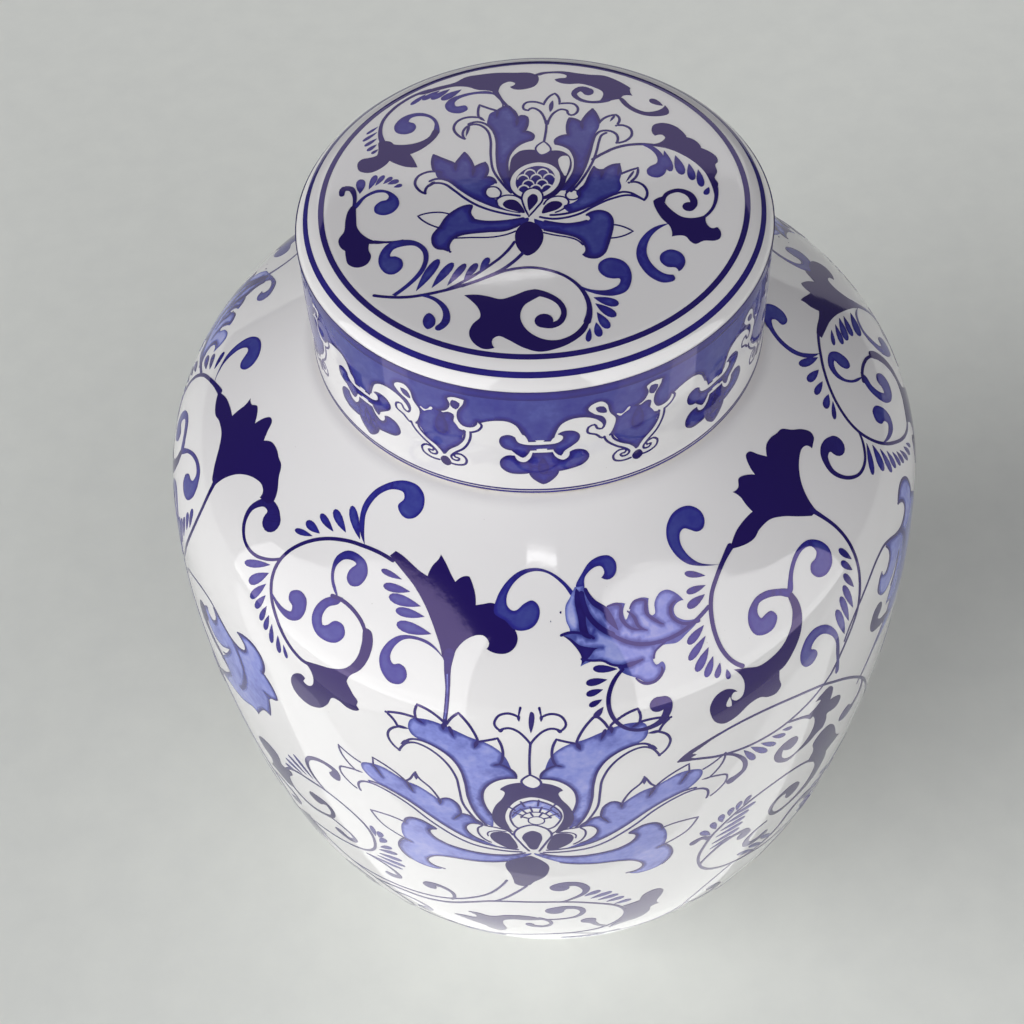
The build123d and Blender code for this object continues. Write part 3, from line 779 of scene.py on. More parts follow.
def scroll_low_west(art):
    """The ring scroll to the lower left of the large flower."""
    art.swell(STEM, (-77.6, -28.4, 0.9), (-81.5, -23, 1.2), (-83.3, -17, 1.5), (-82, -11.4, 1.7),
              (-78.5, -8, 1.8), (-74.5, -6.8, 2), (-71, -8, 2.6), (-71.5, -12, 4.2))
    art.drops(CURL, (-82.6, -25.4, -89.6, -17, 2), (-85.6, -26, -93, -21.2, 2),
              (-88, -28, -95.4, -26.3, 2.2), (-90.4, -30.6, -97, -32, 2), (-61.2, -44, -61.6, -36.4, 2.1),
              (-59.8, -43.6, -58.5, -38.4, 2.6), (-60.2, -47.8, -57.4, -42.6, 2.6),
              (-61, -52.6, -56, -48.2, 2.3), (-62, -55.6, -54.4, -51.9, 2.4),
              (-62.6, -59.4, -53.4, -56.8, 2.6), (-64, -62.8, -52.8, -61.4, 2.4),
              (-68, -66.4, -54.4, -65.6, 2.1))
    art.line(STEM, 1.1, (-98, -37), (-92.4, -31), (-86, -28.7), (-79, -28), (-74, -29.3), (-69, -32.5),
             (-65, -37), (-62.8, -43), (-62.5, -50), (-64, -57), (-68, -63), (-73, -66.4), (-80, -69.4),
             (-90, -73), (-100, -77))
    art.swell(LEAF, (-99, -49.6, 1.5), (-96, -53.5, 2), (-90.5, -54.7, 1.9), (-84.5, -52.6, 1.5),
              (-80, -49.4, 1.7), (-78.4, -44.5, 2), (-80, -40.4, 2.6), (-85, -41.5, 6))
    art.fill(LEAF, (-95.6, -35.6, 1), (-100.4, -37.4), (-100.4, -33.4), (-101, -30.4), (-104.4, -29),
             (-109, -30.4), (-112.4, -34.4), (-111.4, -39), (-108, -42), (-108.6, -46.6),
             (-111.4, -52, 1), (-107, -52), (-103, -53.4), (-98.4, -51), (-98.2, -46), (-97.6, -42),
             (-95, -37.6))
    art.swell(STEM, (-81.4, -50.8, 0.8), (-76.5, -52.6, 1.2), (-73, -55.6, 1.5), (-72.2, -59.4, 2),
              (-75, -61.8, 2.6), (-79, -60, 4))
    art.swell(STEM, (-69, -67, 0.8), (-62.5, -68.6, 1.2), (-58.5, -72, 1.6), (-57.5, -76, 2),
              (-61.8, -78.4, 3.8))


def long_leaf(art):
    """The long white leaf to the right of the large flower, where two vines cross."""
    art.line(LINE, 1.0, (41, 13.9), (45, 12.2), (49, 10.4), (55, 8.7), (61, 7.5), (67, 7), (73, 7.1),
             (79, 8.2), (85, 10), (90, 12.6), (94, 15.6), (96.6, 19))
    art.line(LINE, 1.0, (37, 15), (42, 18.6), (47, 20.6), (53, 22.1), (59, 22.5), (65, 22), (71, 20.7),
             (77, 18.7), (83, 16.2), (89, 13), (95, 8.4), (101, 3.2), (107, -3.2), (113, -10.8),
             (119, -20), (125, -32), (130, -44))
    art.fill(LEAF, (36.3, 15, 1), (39.8, 18.3), (44, 20.2), (50, 22), (43, 17.8), (41, 16.8, 1),
             (42.6, 15.6, 1), (40.8, 15, 1), (42, 13.4))
    art.fill(CURL, (95.7, 17.6, 1), (96.4, 22), (96.2, 28), (94.8, 34), (91.6, 38.6), (87.4, 41.2),
             (82.8, 40.2), (79.8, 36.8), (79.4, 33), (81.2, 29.8), (83.8, 28.7), (86.2, 31), (85.6, 33.6),
             (83.9, 35.3), (85.4, 37.1), (88.4, 37.5), (92.2, 34.6), (94.6, 29), (95, 23))
    art.swell(STEM, (50, 10.2, 0.8), (54, 8, 1), (57.4, 4, 1.3), (59.6, -1, 1.7), (59.4, -5.4, 2),
              (56.8, -7.4, 2.6), (55.2, -8, 3.6))
    art.drops(CURL, (58.6, 6.6, 63.2, -2.6, 2.3), (61, 6.4, 67.8, -2.4, 2.3), (64.8, 5.2, 71, -1.2, 2),
              (69, 5, 74.6, 0.6, 2), (73, 5, 77.2, 2.2, 1.6))
    art.swell(STEM, (75.6, 6.8, 0.8), (79, 5, 1), (82.6, 2.6, 1.2), (85.6, -0.6, 1.8))
    art.fill(LEAF, (84.6, 2, 1), (88, 3.2), (89.4, 4.6), (86.8, 6.4, 1), (90, 7.8), (93, 8), (95, 5.4),
             (95, 1.6), (94.4, -1, 1), (97.6, -2.6), (100.2, -5), (100.9, -8), (99.6, -10.2),
             (96.8, -9.6), (94.2, -8.4), (94.4, -12.4), (93.4, -16, 1), (90.6, -15.8), (87, -17.4),
             (82, -17.8), (78, -18.4), (74.4, -15.8), (71.8, -12), (71.3, -8), (73.6, -5), (77.6, -4.4),
             (80.4, -6.2), (80.8, -9.4), (78.4, -11.2), (75.8, -9.6), (74.8, -8.6), (74.6, -12),
             (76.6, -15.6), (79.6, -17), (83, -16), (86, -13.6), (87.9, -9.4), (87.6, -4), (86, -0.4))
    art.swell(LEAF, (132, 3, 1), (127, 5.4, 3), (121.6, 8.4, 3.4), (117.4, 13, 5), (118.8, 17.4, 7))


def scroll_low_east(art):
    """The ring scroll to the lower right of the large flower."""
    art.line(STEM, 1.1, (74, -86), (66, -83), (60, -79.6), (55, -75.4), (51, -69.6), (48.8, -63),
             (48, -56), (49.2, -49), (51.6, -42.4), (55.6, -37), (60.4, -32.6), (66, -29.7), (72, -28.4),
             (78, -28.4), (84, -29.8), (89, -32.6), (92.6, -36.6))
    art.drops(CURL, (50.6, -45, 49.4, -42, 2), (50.8, -41.6, 46.8, -35.8, 2.6),
              (52.4, -38.6, 50.4, -32.4, 2.4), (54.4, -35.4, 53.4, -29.4, 2.6),
              (56.8, -33.2, 57.2, -28, 2.6), (59.4, -32, 60.2, -26.4, 2.4), (61.8, -30.6, 64, -26, 2.3),
              (58.6, -34.6, 67, -33.8, 2.2), (56.2, -38.2, 64.8, -37.2, 2.4),
              (54.4, -42, 63.8, -40.8, 2.4), (53, -45.6, 63.4, -44.6, 2.3), (52, -50, 62.6, -48.2, 2.4),
              (51.8, -54, 59.6, -51.6, 1.8))
    art.swell(STEM, (50.4, -46, 0.9), (49.6, -43, 1.4), (47.6, -41.2, 2), (44.8, -42.2, 3))
    art.swell(STEM, (49.6, -64.6, 0.8), (52, -59.6, 1.2), (56, -55, 1.5), (61, -52.8, 1.8),
              (65.4, -54, 2.6), (65.8, -57.6, 5.6))
    art.fill(LEAF, (90.4, -24.8, 1), (90.2, -21.6), (93, -18.9), (97, -19.2), (100.4, -23),
             (103.2, -29.6), (105, -35), (108.8, -40.6, 1), (104.8, -40.8), (101.2, -41.6, 1), (102, -47),
             (100.8, -52.6), (98, -57.4), (92.4, -59.6), (86, -60), (80.6, -59.4), (77, -56), (75, -51),
             (75.4, -46.6), (78.4, -43.2), (82.6, -42), (86.6, -43.6), (88.8, -47.6), (87.6, -51),
             (84.6, -52), (82.4, -49.6), (81.8, -45.6), (79, -45.4), (76.8, -48.6), (77.4, -53),
             (79.8, -56.8), (84, -58), (89, -57.4), (93.4, -54.6), (95.6, -49.6), (95.6, -44),
             (93.4, -38.4), (90, -33.6), (91.2, -29))
    art.swell(STEM, (76, -59.8, 0.8), (71, -61.6, 1.4), (68.4, -66, 2.6), (69.6, -71, 2.8), (74, -73, 3),
              (77.6, -72, 3.4))
    art.swell(STEM, (115, -13.6, 0.8), (117, -19.4, 1.4), (116.4, -25, 2), (111.6, -27.6, 4),
              (107.4, -25, 6.6))
    art.swell(STEM, (70, -84.6, 0.9), (80, -84.2, 1.2), (87, -80, 1.8), (89.6, -74, 2.4),
              (93.6, -69.6, 3), (99, -70.6, 3.6), (102.6, -75.4, 4.4))
    art.drops(CURL, (76, -84.6, 66.6, -76.4, 2.4), (80, -84.6, 71.6, -75.6, 2.4),
              (84.4, -83.4, 77, -75, 2.4))


def scroll_under_flower(art):
    """The vines that cross under the bud, and the ring scroll below them."""
    art.line(LINE, 0.8, (-16.7, -51.6), (-19.6, -59), (-23.6, -66.4), (-29.4, -73), (-37, -79.4),
             (-47, -84.6), (-58, -88), (-70, -90.4), (-82, -92))
    art.line(LINE, 0.9, (-10.4, -55.6), (-14, -62), (-18.4, -69), (-22, -73.4))
    art.line(STEM, 1.1, (-72, -97), (-62, -93), (-50, -90.4), (-40, -85.8), (-31, -79), (-24, -74.2),
             (-17, -72), (-9, -71), (-1, -70.8), (6, -72), (13, -75.4), (19, -80), (22.6, -85.4),
             (24, -91), (23.6, -97), (20.6, -103.4), (15.6, -108.6), (8, -111.6), (-2, -113))
    art.swell(STEM, (1, -71, 0.8), (5, -67.8, 1.2), (8.6, -63.4, 1.8), (9, -58.6, 2.8), (6, -54.4, 3),
              (2, -54.4, 4), (0.4, -56.8, 6.4))
    art.drops(CURL, (8.6, -66.6, 14, -62.6, 2.5), (10.8, -69.6, 18, -65.4, 2.5),
              (13.4, -72, 20.4, -69.2, 2.5), (16.4, -75.2, 22.6, -73, 2.6), (19.4, -79, 25.4, -77.6, 2.4))
    art.swell(STEM, (-38.2, -81, 0.9), (-36.8, -77, 1.2), (-37.4, -72.6, 1.6), (-41, -69.6, 2.2),
              (-44.6, -70.4, 3.4), (-45.4, -72.6, 5))
    art.swell(STEM, (-7, -90.6, 0.9), (0, -90.4, 1.1), (5.6, -88.6, 1.4), (8.4, -83.6, 1.9),
              (7, -78.8, 2.4), (2.4, -77.2, 3), (-1.6, -80.4, 6.4))
    art.fill(LEAF, (22.8, -83.6, 1), (26, -82.6), (28.8, -81.6, 1), (29.2, -77.6), (30.6, -75.2),
             (34.2, -73.8), (36.8, -76.4), (37, -81), (36, -85), (35.6, -88), (36.8, -91.4, 1),
             (34, -92.6), (33.6, -98.4), (30, -104), (24.6, -105.8), (19, -110.4, 1), (20.4, -106),
             (23.4, -99.6), (24.2, -93), (24, -87.6))
    art.fill(LEAF, (-6, -90.8, 1), (-11.4, -92), (-17, -92.4), (-20.4, -95), (-21, -101), (-20.4, -108),
             (-23, -112.6, 1), (-26.6, -110.6), (-29, -106.4), (-33.4, -103.6), (-37.4, -101.4),
             (-39.8, -100, 1), (-36, -98.2), (-31.6, -97.6), (-30.6, -94.6), (-33.4, -91.4, 1),
             (-29.6, -90.6), (-26, -92), (-23.4, -91.2), (-19.4, -88.4), (-14, -87), (-9, -88))
    art.swell(STEM, (-7, -89.4, 2), (-4, -92, 1.4), (-3, -96, 1.2), (-5.4, -99.6, 1.6),
              (-9.4, -99.6, 2.4), (-11, -97.6, 3))
    art.swell(STEM, (18, -106.6, 0.9), (14.6, -103, 1.4), (12.4, -98, 2.2), (10.6, -94.6, 5.4))


def scroll_at_foot(art):
    """The low scrolls that fill the narrow part of the body above the foot."""
    art.line(STEM, 1.1, (-100, -77), (-92, -86), (-82, -92), (-72, -97), (-64, -104), (-60, -112),
             (-62, -120), (-69, -126), (-78, -127.6), (-87, -124), (-92, -116), (-91, -108))
    art.swell(LEAF, (-92, -112, 1.4), (-88.6, -105, 3), (-82.4, -103, 3.4), (-77, -107, 2.6),
              (-77, -113, 2), (-81.6, -115.4, 4.6))
    art.swell(STEM, (-66, -103, 0.9), (-60, -99.6, 1.4), (-54, -100.6, 2), (-51, -105.4, 2.6),
              (-54, -109, 5))
    art.line(STEM, 1.1, (-2, -113), (-12, -116), (-22, -121), (-34, -124), (-46, -122.6), (-58, -119))
    art.line(STEM, 1.1, (74, -86), (84, -90), (96, -92), (108, -96), (116, -103), (119, -112),
             (115, -121), (106, -126), (96, -125), (89, -118), (89, -109))
    art.swell(LEAF, (89, -112, 1.4), (91, -104.6, 3), (97, -101.6, 3.4), (103.4, -105, 2.6),
              (104.6, -111, 2), (99.6, -114, 4.6))
    art.line(STEM, 1.1, (66, -83), (58, -92), (52, -102), (48, -113), (40, -121), (28, -124), (16, -121),
             (6, -114), (-2, -113))
    art.swell(STEM, (50, -108, 0.9), (56, -112.6, 1.4), (62, -111.6, 2), (64.4, -106.6, 2.6),
              (61, -103, 5))
    for x, way in ((-44, 1), (22, -1), (70, 1), (-100, -1), (112, 1)):
        art.line(STEM, 0.8, (x - 2 * way, -120.6), (x + 6 * way, -122.2), (x + 14 * way, -123.2),
                 (x + 21 * way, -123.4))
        art.drops(CURL, *[(x + way * (3 + 3.4 * k), -123.4 - 0.3 * k,
                           x + way * (7 + 3.6 * k), -131.6 + 0.9 * k, 2.4) for k in range(5)])


def scroll_between(art):
    """The ring scroll on the quiet side of the belly, between two flowers."""
    art.line(STEM, 1.1, (128, -39), (130.4, -45), (135, -53), (139, -61), (141, -70), (140, -80),
             (135.5, -89), (127.5, -94), (118.5, -93.5), (111.5, -88), (109, -80), (111, -72.5),
             (117, -68), (124, -68.5))
    art.swell(STEM, (123, -68.2, 0.9), (129, -71.5, 1.3), (131, -77.5, 1.8), (127.5, -83, 2.2),
              (121.5, -83.4, 2.6), (119.6, -78.5, 4.6))
    art.swell(STEM, (127.5, -94, 0.9), (123.5, -101, 1.2), (125.5, -109, 1.5), (132, -114.6, 1.9),
              (140, -115, 2.3), (145, -110, 2.6), (142.6, -104.6, 4.4))
    art.swell(STEM, (137.6, -57.5, 0.9), (143, -54.6, 1.3), (149, -56.4, 1.7), (151, -61.6, 2.2),
              (147.4, -65, 4.2))
    turns = [2.3 + 0.26 * k for k in range(8)]
    art.drops(CURL, *[(125 + 18 * cos(a), -81 + 15.5 * sin(a),
                       125 + 26 * cos(a + 0.1), -81 + 24 * sin(a + 0.1), 2.6) for a in turns])
    art.fill(LEAF, (137.4, -86.4, 1), (141.6, -84.4), (145.6, -86), (148, -92.4, 1), (151, -87.6),
             (156.4, -88.4, 1), (155.6, -83), (159.6, -78, 1), (155, -75.4), (153.6, -70, 1),
             (148.6, -73.6), (144.4, -78), (140, -80.6))


def foot_border(art):
    """Two rings just above the foot, as on the lid."""
    art.band(LINE, -176.6, -175.2)
    art.band(LINE, -172.4, -171.6)


def lid_left_upper_petal(art):
    """The upper left petal of the lid's flower, which leans a little."""
    art.fill(DEEP, (-4.4, 0.6, 1), (-7.2, 5), (-9.4, 10.5), (-9.9, 17), (-10, 24), (-10.9, 28.5),
             (-12.6, 31.3), (-12.4, 34), (-11.6, 36.6), (-9.6, 37.6, 1), (-7.8, 39.2), (-6.4, 39.2),
             (-4.6, 36.6), (-3.7, 33.6, 1), (-2.6, 34.8), (-1.2, 34.2), (-1, 31.4), (-1.9, 28, 1),
             (-0.6, 27.5), (0.6, 26), (0.1, 24.1, 1), (-3.5, 22.2), (-6, 18.6), (-7, 14.4), (-6.6, 9),
             (-5.2, 4))
    art.line(LINE, 0.75, (-6.2, 2.2), (-9, 7), (-11.1, 12), (-11.7, 18), (-11.7, 25), (-12.5, 28.8),
             (-14.4, 31.3), (-16.6, 32), (-18.7, 30.8), (-19.7, 28.4), (-19.2, 25.8))
    art.line(LINE, 0.75, (-5, 1.4), (-7.8, 6.4), (-9.6, 12), (-10, 18), (-10, 24.5), (-10.9, 28.7),
             (-12.8, 31.7), (-15.4, 33), (-18, 32.2))
    art.line(LINE, 0.8, (-19.1, 25.8), (-21, 27.4), (-22.3, 30.4), (-21.4, 33.4), (-18.8, 35.1),
             (-15, 34.9, 1), (-15.2, 37.8), (-14.7, 40.5, 1), (-12, 38.8), (-9.6, 37.6, 1), (-8.2, 38.8),
             (-6.6, 39.6), (-4.8, 36.8), (-3.8, 33.6, 1), (-2.5, 34.9), (-1.1, 34.2), (-0.9, 31.4),
             (-1.9, 28, 1), (-0.5, 27.5), (0.7, 26), (0.1, 24.1, 1), (-3.5, 22.3), (-6.1, 18.7),
             (-7.1, 14.4), (-6.7, 9), (-5.2, 3.6))
    art.drops(LINE, (-13.2, 33.2, -15, 35.2, 1), (-4.1, 30.6, -3.8, 33.8, 1),
              (-9.8, 34.6, -9.4, 37.8, 0.8), (-18.8, 26.6, -17.8, 31.4, 0.9))


def lid_left_side_petal(art):
    """The side petal on the left of the lid's flower."""
    art.fill(DEEP, (-3, -6, 1), (-9, -4), (-13.4, -1.8), (-17.2, 1), (-20.6, 4.6), (-23.6, 8),
             (-26.6, 9.4), (-27.6, 12.4), (-28.3, 16), (-28, 19, 1), (-25.5, 17.4), (-21.8, 15.3, 1),
             (-20.5, 17.3), (-19.2, 19.4, 1), (-17.6, 16.7), (-16.6, 13.2, 1), (-15, 14.3),
             (-13.5, 14.9, 1), (-12.7, 12.2), (-13.2, 9.3, 1), (-11.6, 8.6), (-10.6, 6.4), (-13, 4.6),
             (-13.5, 2.4), (-12.2, 0.4), (-9.6, -0.6), (-9.8, -3))
    art.line(RIB, 0.8, (-4, -5.8), (-9, -4), (-13.2, -1.7), (-17, 1.1), (-20.6, 4.7), (-23.6, 8.1),
             (-26.6, 9.3), (-29, 8.4))
    art.line(RIB, 0.8, (-4, -7.2), (-10, -5.4), (-15, -2.8), (-19, 0.6), (-22, 4), (-25, 7), (-28, 7.5),
             (-29.8, 6), (-30.3, 3.4))
    art.line(LINE, 0.8, (-30.2, 3.4), (-31.8, 4.6), (-33.2, 7.6), (-32.4, 10.6), (-30, 12.2),
             (-27.8, 12.4, 1), (-28.4, 16), (-28, 19.4, 1), (-25.4, 17.6), (-21.8, 15.3, 1),
             (-20.6, 17.4), (-19.2, 19.8, 1), (-17.6, 16.8), (-16.6, 13.2, 1), (-15, 14.4),
             (-13.4, 15.2, 1), (-12.6, 12.4), (-13.3, 9.2, 1), (-11.4, 8.6), (-10.4, 6.6))
    art.drops(LINE, (-21.8, 12.4, -21.7, 15.6, 1), (-16.9, 9.8, -16.5, 13.6, 1),
              (-25.4, 11.8, -27.9, 12.6, 0.8), (-30, 5.6, -27.6, 8.2, 1.1))


def lid_left_lower_petal(art):
    """The lower left petal of the lid's flower."""
    art.fill(DEEP, (-1.6, -8, 1), (-6, -9), (-12, -9.3), (-16.4, -8.4), (-17.7, -6), (-17.5, -2.3, 1),
             (-19.6, -2.6), (-22, -4.2), (-24.2, -6.6), (-26, -10.3), (-27.9, -13.6), (-27.8, -17),
             (-26.6, -18.6), (-25, -18.9), (-23.3, -20, 1), (-23.7, -18), (-22.5, -15), (-20, -13.6),
             (-14, -13), (-8.5, -12.9), (-5, -11.5), (-1.6, -9.4))
    art.line(LINE, 0.8, (-16.8, -7.6), (-17.8, -5), (-17.3, -2.3), (-19.6, -2.6), (-22, -4.2),
             (-24.2, -6.6), (-26, -10.3), (-27.9, -13.6), (-27.8, -17), (-26.6, -18.7), (-25, -19),
             (-23.2, -20.2, 1), (-23.7, -18), (-22.4, -15), (-19.8, -13.6), (-13, -12.9), (-8, -12.7),
             (-4, -10.6))
    art.line(LINE, 0.55, (-23, -5.6), (-26, -4.5), (-29.5, -4.6), (-32.2, -5.6, 1), (-30.5, -7.8),
             (-27.6, -10), (-25.6, -10.8))
    art.line(LINE, 0.55, (-22.4, -15), (-18, -15), (-12, -15.2), (-8, -14.5), (-5.2, -13.2))
    art.line(RIB, 0.8, (-17, -7.8), (-14, -8.9), (-9, -9.1), (-3, -8.2))


def lid_left_root(art):
    """The curled lobes and the dark seed at the root of the left petals."""
    art.fill(PAPER, (-12.8, 4.5), (-13.4, 2.4), (-12.2, 0.6), (-9.8, 0.6), (-9, 2.6), (-10.4, 4.8))
    art.loop(LINE, 0.55, (-12.6, 4.7), (-13.4, 2.4), (-12.2, 0.5), (-9.6, 0.6), (-9, 2.6), (-10.4, 4.8))
    art.fill(PAPER, (-10, -0.6), (-8.6, 0.9), (-5.6, 0.9), (-3, -1.6), (-2, -6), (-5.4, -5.4), (-9, -3.4))
    art.line(LINE, 0.55, (-9.4, -3.6), (-10.4, -0.8), (-8.4, 1.1), (-5.4, 1), (-3, -1))
    art.fill(SEED, (-8.6, -2.2), (-7.4, -0.7), (-5.2, -0.8), (-3.4, -3.2), (-2.6, -6.2), (-5.6, -5),
             (-8, -3.6))


def lid_scroll_north(art):
    """The leaf, ring and curl behind the lid's flower, to the left."""
    art.fill(LEAF, (-33, 46.6, 1), (-28, 49.3), (-22, 51.3), (-18.8, 53.6), (-14, 54.6), (-9.4, 55),
             (-4, 54.7), (0.2, 54.4), (2.6, 52.8), (2.8, 50.6), (1.6, 48.2), (-1, 47), (-4.2, 47),
             (-5.7, 48.2, 1), (-4.1, 49.7), (-5.6, 50.7), (-8, 49.6), (-9, 47.2), (-9.2, 43.8, 1),
             (-10.6, 46.2), (-12.6, 47.1), (-15.4, 47.6), (-18, 49), (-22, 49.5), (-27, 48.1),
             (-31, 46.6))
    art.swell(STEM, (-29, 48.4, 1.2), (-33, 46.8, 0.9), (-37, 43.8, 0.9), (-40.4, 40, 0.9),
              (-42.9, 35.4, 0.9), (-43.6, 30.4, 1.2), (-42.8, 26, 1.8))
    art.swell(STEM, (-10, 46, 1.8), (-8.4, 42.6, 1), (-6.8, 39.8, 0.9), (-4.6, 36.8, 0.9),
              (-3.8, 34, 0.8))
    art.fill(CURL, (-9.6, 44.6, 1), (-12, 46.6), (-16, 46.6), (-20, 45.6), (-23.2, 44), (-24.9, 41),
             (-23.8, 38.2), (-20.6, 37.2), (-18.2, 38.8), (-18.9, 40.6), (-21.6, 40.4), (-22, 42.2),
             (-20.4, 44), (-16, 45.6), (-12, 45.4))
    art.line(LINE, 0.5, (-11, 45.8), (-8.9, 43), (-7.9, 40), (-8.8, 37.8))
    art.drops(CURL, (-20, 48, -26, 43.6, 2.4), (-23.4, 48.4, -29, 44.1, 2.1), (-26.4, 48, -31.6, 44, 1.8),
              (-30.4, 46.6, -35, 42, 1.4), (-44.2, 33, -47.6, 29.8, 0.9), (-44.4, 30.6, -48.6, 26.8, 1.1),
              (-44.4, 27.8, -48, 24.6, 1.2), (-44.4, 25.2, -47.2, 22.5, 1.3), (-44, 23, -45.9, 21.2, 1))
    art.fill(CURL, (-26.6, 28.6), (-26.5, 31.6), (-27.7, 35.4), (-30.6, 37.8), (-34, 38.1), (-37.6, 36.2),
             (-39.6, 32.6), (-39, 30), (-36.6, 29), (-34.2, 29.8), (-33.2, 32), (-34, 33.8),
             (-35.4, 34.4), (-34.8, 36), (-32.6, 36.8), (-29.6, 36), (-27.9, 33.4), (-28, 29.6))
    art.fill(LEAF, (-26.5, 29.4, 1), (-27.6, 26.6), (-31, 22.6), (-34.8, 20.2, 1), (-33.6, 17.6),
             (-32.6, 14.5, 1), (-36, 15), (-39, 16.6), (-40.6, 17.9, 1), (-42.6, 15.2), (-46, 13.2),
             (-49, 14), (-49.8, 17), (-48.6, 19), (-46, 19.6), (-44.3, 20.4), (-43.9, 23), (-43.9, 26),
             (-41.6, 26.4), (-40.2, 25.8), (-39.6, 24.9), (-36, 24.4), (-32, 25.4), (-29.4, 27.4),
             (-28, 30.4))


def lid_scroll_west(art):
    """The ring scroll, dark leaf and curl to the left of the lid's flower."""
    art.swell(STEM, (-50.3, -0.6, 0.8), (-50.2, 4, 1.3), (-51.3, 6.8, 1.9), (-53.2, 6.9, 2),
              (-53.8, 4.6, 1.5))
    art.drops(CURL, (-48.7, 4.6, -48.5, 10.6, 2.7), (-46.2, 6.2, -44.3, 12, 1.9),
              (-44.4, 7.6, -42, 11.8, 1.5), (-42.2, 8.2, -39.7, 10.9, 1.5), (-41, 8, -37.8, 9.4, 1.8),
              (-39.2, 6.6, -36.8, 7.5, 1.4))
    art.fill(CURL, (-50.4, -1, 1), (-47.6, 3.5), (-43.6, 5.9), (-40.4, 5), (-37.9, 2), (-37.6, -1),
             (-39.4, -3.8), (-42, -4.6), (-44.2, -3.4), (-44.4, -1), (-42.8, 1), (-41, 1.6), (-40.5, 3),
             (-41.5, 4.5), (-44, 4.6), (-47, 2.8), (-49.6, -1.4))
    art.fill(LEAF, (-49.6, -1, 1), (-49.4, -5), (-49, -9), (-47, -12.4), (-43.6, -14.8), (-39, -15, 1),
             (-42, -15.8), (-45.5, -15.6, 1), (-45.6, -18), (-44.8, -20.6), (-46, -23.6), (-48.6, -24.6),
             (-51, -23.2), (-51.8, -20.2), (-52, -18, 1), (-53.6, -16), (-54, -13.4), (-52.6, -10.4),
             (-52.4, -6), (-51.8, -2.4), (-50.6, -0.2))
    art.line(STEM, 0.8, (-44, -14.8), (-40, -15.4), (-36.2, -15))
    art.fill(CURL, (-36.6, -14.8, 1), (-32.6, -15.5), (-29.7, -18.6), (-29.1, -22.4), (-30.2, -27),
             (-33, -31.2), (-37.8, -36, 1), (-38.8, -35.4, 1), (-34.4, -31), (-31.7, -27), (-30.5, -23),
             (-30.9, -19.6), (-32.9, -17.3), (-36, -17.2), (-38.8, -18.4), (-39.6, -20.9), (-38.2, -21),
             (-36.4, -22.4), (-36.2, -25.4), (-38.4, -27.8), (-40.6, -27.4), (-42.6, -24), (-42.5, -20),
             (-40.4, -16.2))
    art.line(LINE, 0.85, (-5.6, -17.4), (-9, -22.6), (-13.6, -27), (-18.6, -31), (-24.4, -34.6))
    art.line(LINE, 1.0, (-3.4, -21.8), (-8.6, -27.4), (-14.6, -31), (-20, -33.2), (-27, -35.3),
             (-34, -36.5), (-39, -36.3), (-43.6, -35.4))
    art.drops(CURL, (-32.4, -34.6, -26.3, -22.8, 2.8), (-28.2, -33.6, -22.4, -24.4, 2.6),
              (-24, -33, -19, -25, 2.2), (-19.6, -31.6, -15.9, -25, 2.2), (-15.2, -29, -12.8, -23, 2.1))
    art.swell(CURL, (-31, -36, 0.9), (-26.8, -38.2, 1.2), (-24.4, -42, 1.7), (-24.4, -46, 2.2),
              (-26.2, -48.2, 2))
    art.fill(CURL, (-28.8, -42.7), (-27.2, -44.6), (-27.4, -47.4), (-29.2, -48.5), (-30.4, -46.4),
             (-30, -43.8))


def lid_scroll_south(art):
    """The arched vine, ring, dark leaf and fan of drops in front of the lid's flower."""
    art.swell(STEM, (-20, -33.4, 0.9), (-13, -30.3, 0.9), (-8, -28.2, 0.9), (-2, -27.4, 0.9),
              (3, -28.5, 0.9), (7.6, -31, 0.9), (11, -34.6, 1), (13, -38.6, 1.2), (13.8, -43, 1.4),
              (13, -48, 2))
    art.fill(CURL, (11.6, -34.9, 1), (15, -36.6), (19, -36.8), (22, -35), (22.4, -32.8), (20.6, -32.7),
             (18.6, -32), (16.8, -29.4), (17.2, -26.6), (20, -24.8), (23.6, -26.2), (25.4, -29.6),
             (25.4, -34), (23.8, -37.6), (20.6, -39), (17, -38.6), (13, -36.7))
    art.drops(CURL, (15, -39.4, 21.6, -42.3, 3), (15.4, -41.6, 20.6, -46.6, 2.8),
              (15.7, -44.8, 18.5, -50.8, 2.6), (15.3, -48.4, 16, -53.6, 2.2),
              (13.6, -50.4, 12.9, -55.2, 1.6))
    art.swell(LEAF, (-0.6, -36.8, 2.4), (3, -38.2, 1.9), (6, -41, 1.6), (7, -44.6, 1.5), (5.6, -48, 1.8),
              (3, -48.9, 2.2), (1.6, -47.2, 5))
    art.fill(LEAF, (-19.4, -36.8, 1), (-16, -36.8), (-13, -37.6), (-9.6, -38.8), (-6, -37.6), (-2.6, -36),
             (0.4, -35.8), (2.4, -37.4, 1), (-1, -39.4), (-3.6, -41.6), (-4.6, -45.6), (-3, -50.2),
             (1, -53.6), (5, -54.2), (9, -52.4), (11.8, -49), (13.6, -44.4, 1), (13.6, -48), (12, -52),
             (8, -55.6), (4, -57.4), (0, -58), (-4, -56.4), (-8, -53.4), (-10.4, -52), (-12, -53),
             (-12.2, -54.6), (-11.6, -56.1, 1), (-14.6, -56.2), (-17.2, -53.8), (-18.2, -50.6),
             (-17.2, -47.4), (-15.2, -45), (-15.6, -42), (-17, -39.6))


